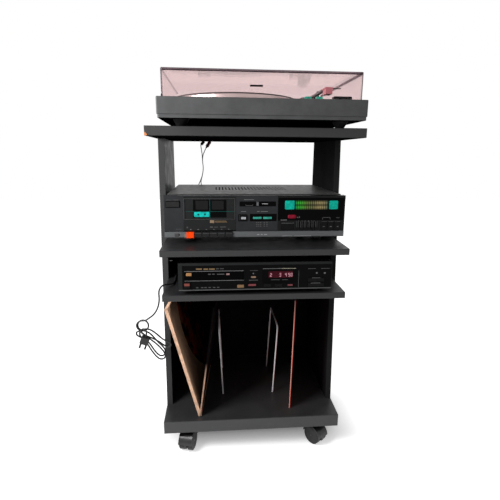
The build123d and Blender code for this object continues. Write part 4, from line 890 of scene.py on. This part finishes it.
def receiver_left():
    """Prints over the tape keys and round the power switch, and painted shade in the gap round it."""
    dots = [(x - 1.6, x + 1.6, 18.7, 20.4) for x in (-155.6, -138, -118.8, -101, -82.4, -65.5)]
    marks("key_dots", RECEIVER, dots, grey)
    # a dark frame of painted shade in the gap round the power switch
    plates("power_recess", RECEIVER, frame_rects(-213.6, -178.6, 71.6, 88.4, 2), black_and_gap_shade, corner=0.6)
    prints = [(-211, -200, 89.2, 90.2), (-195, -181, 89.2, 90.2), (-191, -177, 20, 21)]
    marks("power_marks", RECEIVER, prints, faint)


def receiver_middle():
    """The tone slider's slot with painted shade and a painted highlight, the mode button with painted shade
    round it, and the two level lamps.
    """
    # painted shade in the tone slider's slot
    marks("slot_recess", RECEIVER, [(-39.4, 47.9, 74.4, 86)], black_and_gap_shade, 0.1)
    # a painted highlight in the slot
    marks("slot_glint", RECEIVER, [(14.2, 28.6, 79.8, 81.3)], painted_slot_highlight, 0.25)
    bracket = [(-25.2, -7.3, 75.9, 77), (-25.2, -24.1, 75.9, 79.5), (-8.4, -7.3, 75.9, 79.5)]
    marks("slot_scale", RECEIVER, bracket, faint, 0.25)
    labels = [(-28.8, -5, 89.8, 91.2), (-35.8, -24, 61.4, 62.8), (2.5, 8.5, 61.4, 62.9), (12, 29, 61.4, 62.9)]
    marks("fascia_labels", RECEIVER, labels, grey)
    # a dark ring of painted shade round the mode button
    plates("mode_surround", RECEIVER, frame_rects(-42.8, -20.6, 38.6, 55.6, 1.8), black_and_gap_shade, corner=0.6)
    white = look("mode_cap_white", (0.38, 0.39, 0.41), 0.4)
    plates("mode_light", BUTTONS, [(-35.6, -24, 43.7, 49.3)], white, 0.2, corner=0.8)
    plates("level_surround", RECEIVER, [(-14.6, 50.2, 38.6, 56.6)], black_and_gap_shade, corner=1)
    lit = glow("lit_level", (0.03, 0.24, 0.185), 0.4)
    bars = [(-7, 13.5, 44.2, 49.3), (17.6, 38.4, 44.1, 49.2)]
    plates("level_bars", RECEIVER, bars, lit, 0.3, corner=0.8)
    dots = [(x, x + 3.2, z, z + 2.2) for x in (0.6, 5.2, 10, 19, 25.4) for z in (25.5, 30, 34.4)]
    marks("level_marks", RECEIVER, dots, faint)


def receiver_tuner():
    """The lit scale between its two end lamps, the stereo lamp and the prints on the window."""
    plates("tuner_ends", WINDOW, [(69.7, 92.7, 67, 88), (177.8, 199.3, 67.2, 87.8)], teal, 0.2, corner=2.2)
    plates("tuner_scale", WINDOW, [SCALE], tuner_glow(), PRINT, corner=0.8)
    dome("stereo_lamp", WINDOW, 87.7, 49.4, width=21, height=9.4, rise=2.0, material=rose_glow)
    marks("lamp_marks", WINDOW, [(99.8, 102.3, 46.2, 49.4), (103.9, 106.9, 46.2, 50)], faint)
    marks("tuner_line", WINDOW, [(59.7, 75.6, 40.4, 42.2)], grey)
    marks("tuning_top", BUTTONS, [(61.3, 92.6, 33.2, 34.8)], faint, ON_BUTTON)
    bracket = [(163.9, 181.2, 46.4, 47.6), (162.3, 163.6, 42.2, 46.6), (181, 182.2, 42.2, 46.6)]
    marks("function_labels", WINDOW, bracket + [(196.5, 205, 45.6, 46.9)], faint)
    small = [(x, x + 2.4, 38.4, 39.8) for x in (103, 111, 119, 127, 135, 141)]
    marks("tiny_labels", WINDOW, small, faint)


def receiver_buttons():
    """Prints that ride on the tuning and function buttons."""
    ridges = [
        (x + left, x + right, 23.5, 38.5)
        for left, right in ((-3.4, -2.5), (0.2, 0.9))
        for x in button_middles(*PRESETS)
    ]
    marks("preset_ridges", BUTTONS, ridges, faint, ON_BUTTON)
    middles = button_middles(*FUNCTIONS)
    tops = [(x - 6.5, x + 6.5, 36.5, 37.4) for x in middles]
    marks("function_tops", BUTTONS, tops, faint, ON_BUTTON)
    prints = [(x - 2.2, x + 2.2, 24.4, 25.9) for x in middles]
    marks("function_marks", BUTTONS, prints, grey, ON_BUTTON)


def receiver_strip():
    """The silver strip's prints and socket plate, and the tape keys' light top edges."""
    print_grey = ink("strip_print", (0.36, 0.37, 0.38))
    dots = [(3.1, 8.7, 5.2, 7), (12.9, 16.8, 5.2, 7), (20.2, 27.5, 5.2, 7)]
    lines = [(64.4, 89.1, 1.8, 2.7), (94, 136.2, 1.5, 2.4)]
    marks("strip_marks", RECEIVER, dots + lines, print_grey)
    panel = look("jack_panel", (0.03, 0.029, 0.029), 0.4)
    plates("jack_surround", RECEIVER, [(-194.5, -184.6, -0.8, 10.4)], panel)
    for key in TAPE_KEYS[1:]:
        on = face(key + "_key", body=key + "_key_cap")
        marks(key + "_key_top", on, [(-7.6, 7.6, 9.7, 10.7)], faint)
    tan = look("tan_lens", (0.22, 0.16, 0.10), 0.4)
    marks("record_lamp", RECEIVER, [(-170.6, -167.6, 0, 9)], tan, 0.15)


cassette_door()
receiver_left()
receiver_middle()
receiver_tuner()
receiver_buttons()
receiver_strip()

# ---- CD player details

CD = face("cd_fascia")
TRAY = face("cd_fascia", "cd_tray", "disc_tray")
CD_BUTTONS = face("cd_fascia", "cd_buttons", "cd_button_caps")
CD_POWER = face("cd_fascia", "cd_power_button", "cd_power_cap")

DIGIT_WIDTH = 4.0
DIGIT_HEIGHT = 8.4
DIGIT_BAR = 0.9
DIGIT_FOOT = 31.5
DIGITS = ((33, "2"), (55, "3"), (68.5, "4"), (76.5, "5"), (82.1, "0"))  # left edge and digit
LIT_BARS = {"0": "abcdef", "2": "abged", "3": "abgcd", "4": "fgbc", "5": "afgcd"}


def cd_bands():
    """The fascia's lighter top and left side, and the bright line along its foot."""
    band = look("cd_top_band", (0.016, 0.0165, 0.017), 0.4, shine=0.08)
    marks("cd_top_strip", CD, [(-179.5, 180.5, 60.7, 66.8)], band, 0.1)
    # the fascia is lighter along its left side
    band = look("cd_left_side_band", (0.011, 0.012, 0.012), 0.4, shine=0.1)
    marks("cd_side_band", CD, [(-180.1, -171, 1.5, 60.7)], band, 0.08)
    line = look("cd_trim_line", (0.055, 0.056, 0.057), 0.35, metallic=0.4)
    plates("cd_bottom_trim", CD, [(-180, 180, 0.3, 2.9)], line, 0.25, 0.4)


def cd_tray_front():
    marks("tray_lines", TRAY, [(-166, -28.7, 46.4, 47.8), (-166, -28.7, 23.5, 24.7)], grey)
    plates("tray_plate", TRAY, [(-162.2, -149.7, 36.1, 43.5)], amber_plate, 0.2, corner=1)
    words = [(-111.5, -105.5, 38.8, 40.9), (-102.5, -96.5, 38.8, 40.9), (-91, -74, 38.5, 40.6)]
    marks("tray_marks", TRAY, words, faint)
    marks("tray_spot", TRAY, [(-69.5, -62, 37.3, 41.4)], look("pink_ink", (0.3, 0.17, 0.17), 0.5))


def cd_prints():
    """Plain bars where the real fascia has its small prints."""
    amber = [(-139, -125.5, 50.9, 54.1), (-121.9, -111.5, 50.7, 53.9), (-109.2, -96.1, 50.5, 53.7)]
    marks("cd_amber_marks", CD, amber, amber_ink)
    above_tray = [(-93.1, -86.3, 51.9, 53.5), (-83.9, -74.9, 51.8, 53.4)]
    below_tray = [(x, x + 5.5, 6.5, 8.5) for x in (-140, -128.5, -120.4, -111.1, -100.7, -91.3)]
    by_lamp = [(-14.3, 4.4, 46.5, 47.5), (-16.5, 4.5, 22.9, 24.4)]
    below_display = [
        (35.5, 56.8, 23.2, 24.3), (61.6, 75.9, 22.9, 24), (19.1, 26.2, 10.3, 13.1), (28.6, 35.7, 10.9, 13.1)
    ]
    over_buttons = [(122.8, 141.9, 49.1, 50.2), (153.9, 175.5, 49.1, 50.2)]
    small = above_tray + by_lamp + below_display + over_buttons + below_tray
    marks("cd_grey_marks", CD, small, faint)
    display_line = [(16.1, 60.9, 50.5, 51.8)]
    dots = [(-7.7, -4.7, 38.5, 41.5), (142.5, 146.1, 36.9, 40.9), (161.5, 165.9, 36.5, 40.5)]
    dashes = [
        (47.6, 59.5, 11.5, 12.9), (124.5, 131, 19.9, 21.5), (155.9, 161.9, 19.5, 21.4),
        (124.9, 131.4, 7, 8.7), (156.3, 160.7, 6.9, 8.6),
    ]
    marks("cd_pale_marks", CD, display_line + dots + dashes, grey)
    marks("cd_cream_line", CD, [(60.9, 94.1, 50.4, 51.7)], look("cream_ink", (0.36, 0.34, 0.25), 0.5))


def cd_controls():
    tops = [(133.3, 152.6, 26.8, 27.8), (130.2, 153.2, 14.1, 15.1)]
    marks("cd_button_tops", CD_BUTTONS, tops, grey, ON_BUTTON)
    marks("cd_groove", CD, [(100.9, 101.7, 3.5, 46.5)], faint, 0.1)
    lens = look("tan_lens_wide", (0.25, 0.15, 0.09), 0.3)
    plates("cd_lamp", CD, [(-11.8, -0.1, 29.1, 33.3)], lens, 0.3, 0.4, corner=2.0)
    tan = look("tan_plate", (0.2, 0.105, 0.04), 0.4)
    plates("cd_corner_plate", CD, [(-43.9, -28.3, 5.5, 12.9)], tan, 0.15, corner=1.2)
    bars = [(-17.8, -0.1, 10.1, 14.9), (75.3, 87.1, 8.9, 12.7)]
    plates("cd_red_bars", CD_BUTTONS, bars, red_ink, 0.2, corner=0.8)
    dull_red = look("dull_red", (0.14, 0.022, 0.012), 0.5)
    marks("cd_power_mark", CD_POWER, [(-166.7, -154.5, 12.9, 19.1)], dull_red, ON_BUTTON)
    marks("cd_power_label", CD, [(-166.5, -153.9, 7.5, 9.5)], look("rosy_ink", (0.09, 0.04, 0.04), 0.5))


def seven_segment(x, z, digit):
    """The lit bars of one plain digit whose lower left corner is at x, z."""
    right, top, half, bar = x + DIGIT_WIDTH, z + DIGIT_HEIGHT, z + DIGIT_HEIGHT / 2, DIGIT_BAR
    bars = {
        "a": (x, right, top - bar, top),
        "b": (right - bar, right, half, top),
        "c": (right - bar, right, z, half),
        "d": (x, right, z, z + bar),
        "e": (x, x + bar, z, half),
        "f": (x, x + bar, half, top),
        "g": (x, right, half - bar / 2, half + bar / 2),
    }
    return [bars[letter] for letter in LIT_BARS[digit]]


def cd_display():
    plates("cd_display_surround", CD, [(14.1, 97.2, 16, 48.3)], black_and_gap_shade, 0.08, corner=1)
    lit = glow("lit_display", (0.03, 0.0008, 0.004), 0.5)
    plates("cd_display", CD, [(29.5, 86.9, 28.7, 44.7)], lit, 0.25, corner=1.5)
    bars = [bar for x, digit in DIGITS for bar in seven_segment(x, DIGIT_FOOT, digit)]
    bright = glow("lit_digits", (0.6, 0.30, 0.36), 0.45, contrast=0.05)
    plates("cd_digits", CD, bars, bright, 0.4, corner=0.1, ease=0.03)


cd_bands()
cd_tray_front()
cd_prints()
cd_controls()
cd_display()

# ---- turntable and side panel details

COVER = face("turntable_plinth", "dust_cover", "lid")
PIN_HOLES = ((24, 796), (155, 795))  # Y and Z of the two free pin holes in the left side panel
# The rim and hollow of a pin hole's dark cup, painted shade inside the hole: (radius, X), stretched upwards
# to an oval.
PIN_CUP = ((3.4, -217.9), (3.4, -217.32), (2.2, -217.32), (2.0, -217.8))
PIN_CUP_STRETCH = 5 / 3.4


def pin_hole_shade_cups():
    bm = bmesh.new()
    for y, z in PIN_HOLES:
        rings = []
        for r, x in PIN_CUP:
            rings.append(
                [mm(x, y + r * math.cos(a), z + PIN_CUP_STRETCH * r * math.sin(a)) for a in turns(20)]
            )
        add_rings(bm, rings)
    finish_piece("pin_hole_shade_cups", bm, black_and_gap_shade, ROOT)


BUMPER = (-207.4, -204.4, 33.8, 38.6)
plates("cover_bumper", COVER, [BUMPER], looks["rubber_foot"], 0.7, 0.7, corner=0.6)
pin_hole_shade_cups()
PLAIN_PLATE = (-28.3, -1.7, 55.8, 59.4)
plates("cover_plate", COVER, [PLAIN_PLATE], looks["window_black"], 0.5, 0.4)

# ---- floor, light and camera

FLOOR_SIZE = 12.0  # metres, as are the lamps' places and sizes
SHADOW_HALF = (0.2, 0.05, 0)  # the floor is darkest within this box round the middle, where its glow is lowered: painted shadow
SHADOW_REACH = 0.145  # and white from this far outside it
SHADOW_FLOOR = 0.16  # light that even the darkest floor gives off
WORLD_LIGHT = 0.24
CAMERA_AT = (-87.65, -1069.55, 784.51)
CAMERA_TILT = 76.5402  # degrees up from straight down
CAMERA_ROLL = -0.4392
CAMERA_TURN = -4.6391  # degrees from straight ahead, to the right below zero
CAMERA_LENS = 28.98
CAMERA_SENSOR = 36


def seen_as_background(tree):
    """One for what the camera sees, directly, mirrored or through the clear cover."""
    rays = add_node(tree, "LightPath").outputs
    through = calc(tree, "MAXIMUM", rays["Is Glossy Ray"], rays["Is Transmission Ray"])
    return calc(tree, "MAXIMUM", rays["Is Camera Ray"], through)


def white_light(tree, kind, strength):
    return add_node(tree, kind, {"Color": (1, 1, 1, 1), "Strength": strength}).outputs[0]


def floor_material():
    """White floor with the object's shadow, deepened by a painted shadow where its glow is lowered near the
    object, which runs into the white background.
    """
    material, tree, shader = new_material("studio_floor")
    set_up(tree, shader, Base_Color=(0.88, 0.88, 0.88, 1), Roughness=0.9, Specular_IOR_Level=0.1)
    beside = calc_vector(tree, "ABSOLUTE", object_place(tree))
    beside = calc_vector(tree, "SUBTRACT", beside, SHADOW_HALF)
    beside = calc_vector(tree, "MAXIMUM", beside, (0, 0, 0))
    gap = calc_vector(tree, "LENGTH", beside, result="Value")
    lift = spread(tree, gap, SHADOW_FLOOR, 1.0, start=0.0, stop=SHADOW_REACH)
    strength = times(tree, lift, seen_as_background(tree))
    white = white_light(tree, "Emission", strength)
    both = add_node(tree, "AddShader", {0: shader.outputs[0], 1: white}).outputs[0]
    tree.links.new(both, tree.nodes["Material Output"].inputs["Surface"])
    return material


def studio_floor():
    bm = bmesh.new()
    bmesh.ops.create_grid(bm, x_segments=1, y_segments=1, size=FLOOR_SIZE / 2)
    mesh = new_mesh("studio_floor", bm)
    mesh.materials.append(floor_material())
    new_object("studio_floor", mesh)


def studio_world():
    """Soft light from all round, in front of a white background."""
    world = bpy.data.worlds.new("studio")
    bpy.context.scene.world = world
    world.use_nodes = True
    tree = world.node_tree
    white = white_light(tree, "Background", 1.0)
    soft = white_light(tree, "Background", WORLD_LIGHT)
    sky = add_node(tree, "MixShader", {0: seen_as_background(tree), 1: soft, 2: white}).outputs[0]
    tree.links.new(sky, tree.nodes["World Output"].inputs["Surface"])


def softbox(name, place, aim, size, power):
    lamp = bpy.data.lights.new(name, "AREA")
    lamp.shape = "SQUARE"
    lamp.size = size
    lamp.energy = power
    piece = new_object(name, lamp)
    piece.location = place
    piece.rotation_euler = (Vector(aim) - Vector(place)).to_track_quat("-Z", "Y").to_euler()


def add_camera():
    """The photograph's camera, fitted to the rack's edges and to the pieces of standard size."""
    camera = new_object("camera", bpy.data.cameras.new("camera"))
    camera.data.lens = CAMERA_LENS
    camera.data.sensor_width = CAMERA_SENSOR
    camera.location = mm(*CAMERA_AT)
    camera.rotation_euler = [math.radians(a) for a in (CAMERA_TILT, CAMERA_ROLL, CAMERA_TURN)]
    bpy.context.scene.camera = camera


studio_floor()
studio_world()
softbox("key_softbox", (-0.75, -0.55, 0.95), aim=(-0.15, 0, 0.6), size=0.4, power=12)
softbox("fill_softbox", (1.8, -1.6, 1.2), aim=(0, 0, 0.5), size=1.2, power=1)
add_camera()
bpy.context.scene.view_settings.view_transform = "Standard"

bpy.context.view_layer.update()
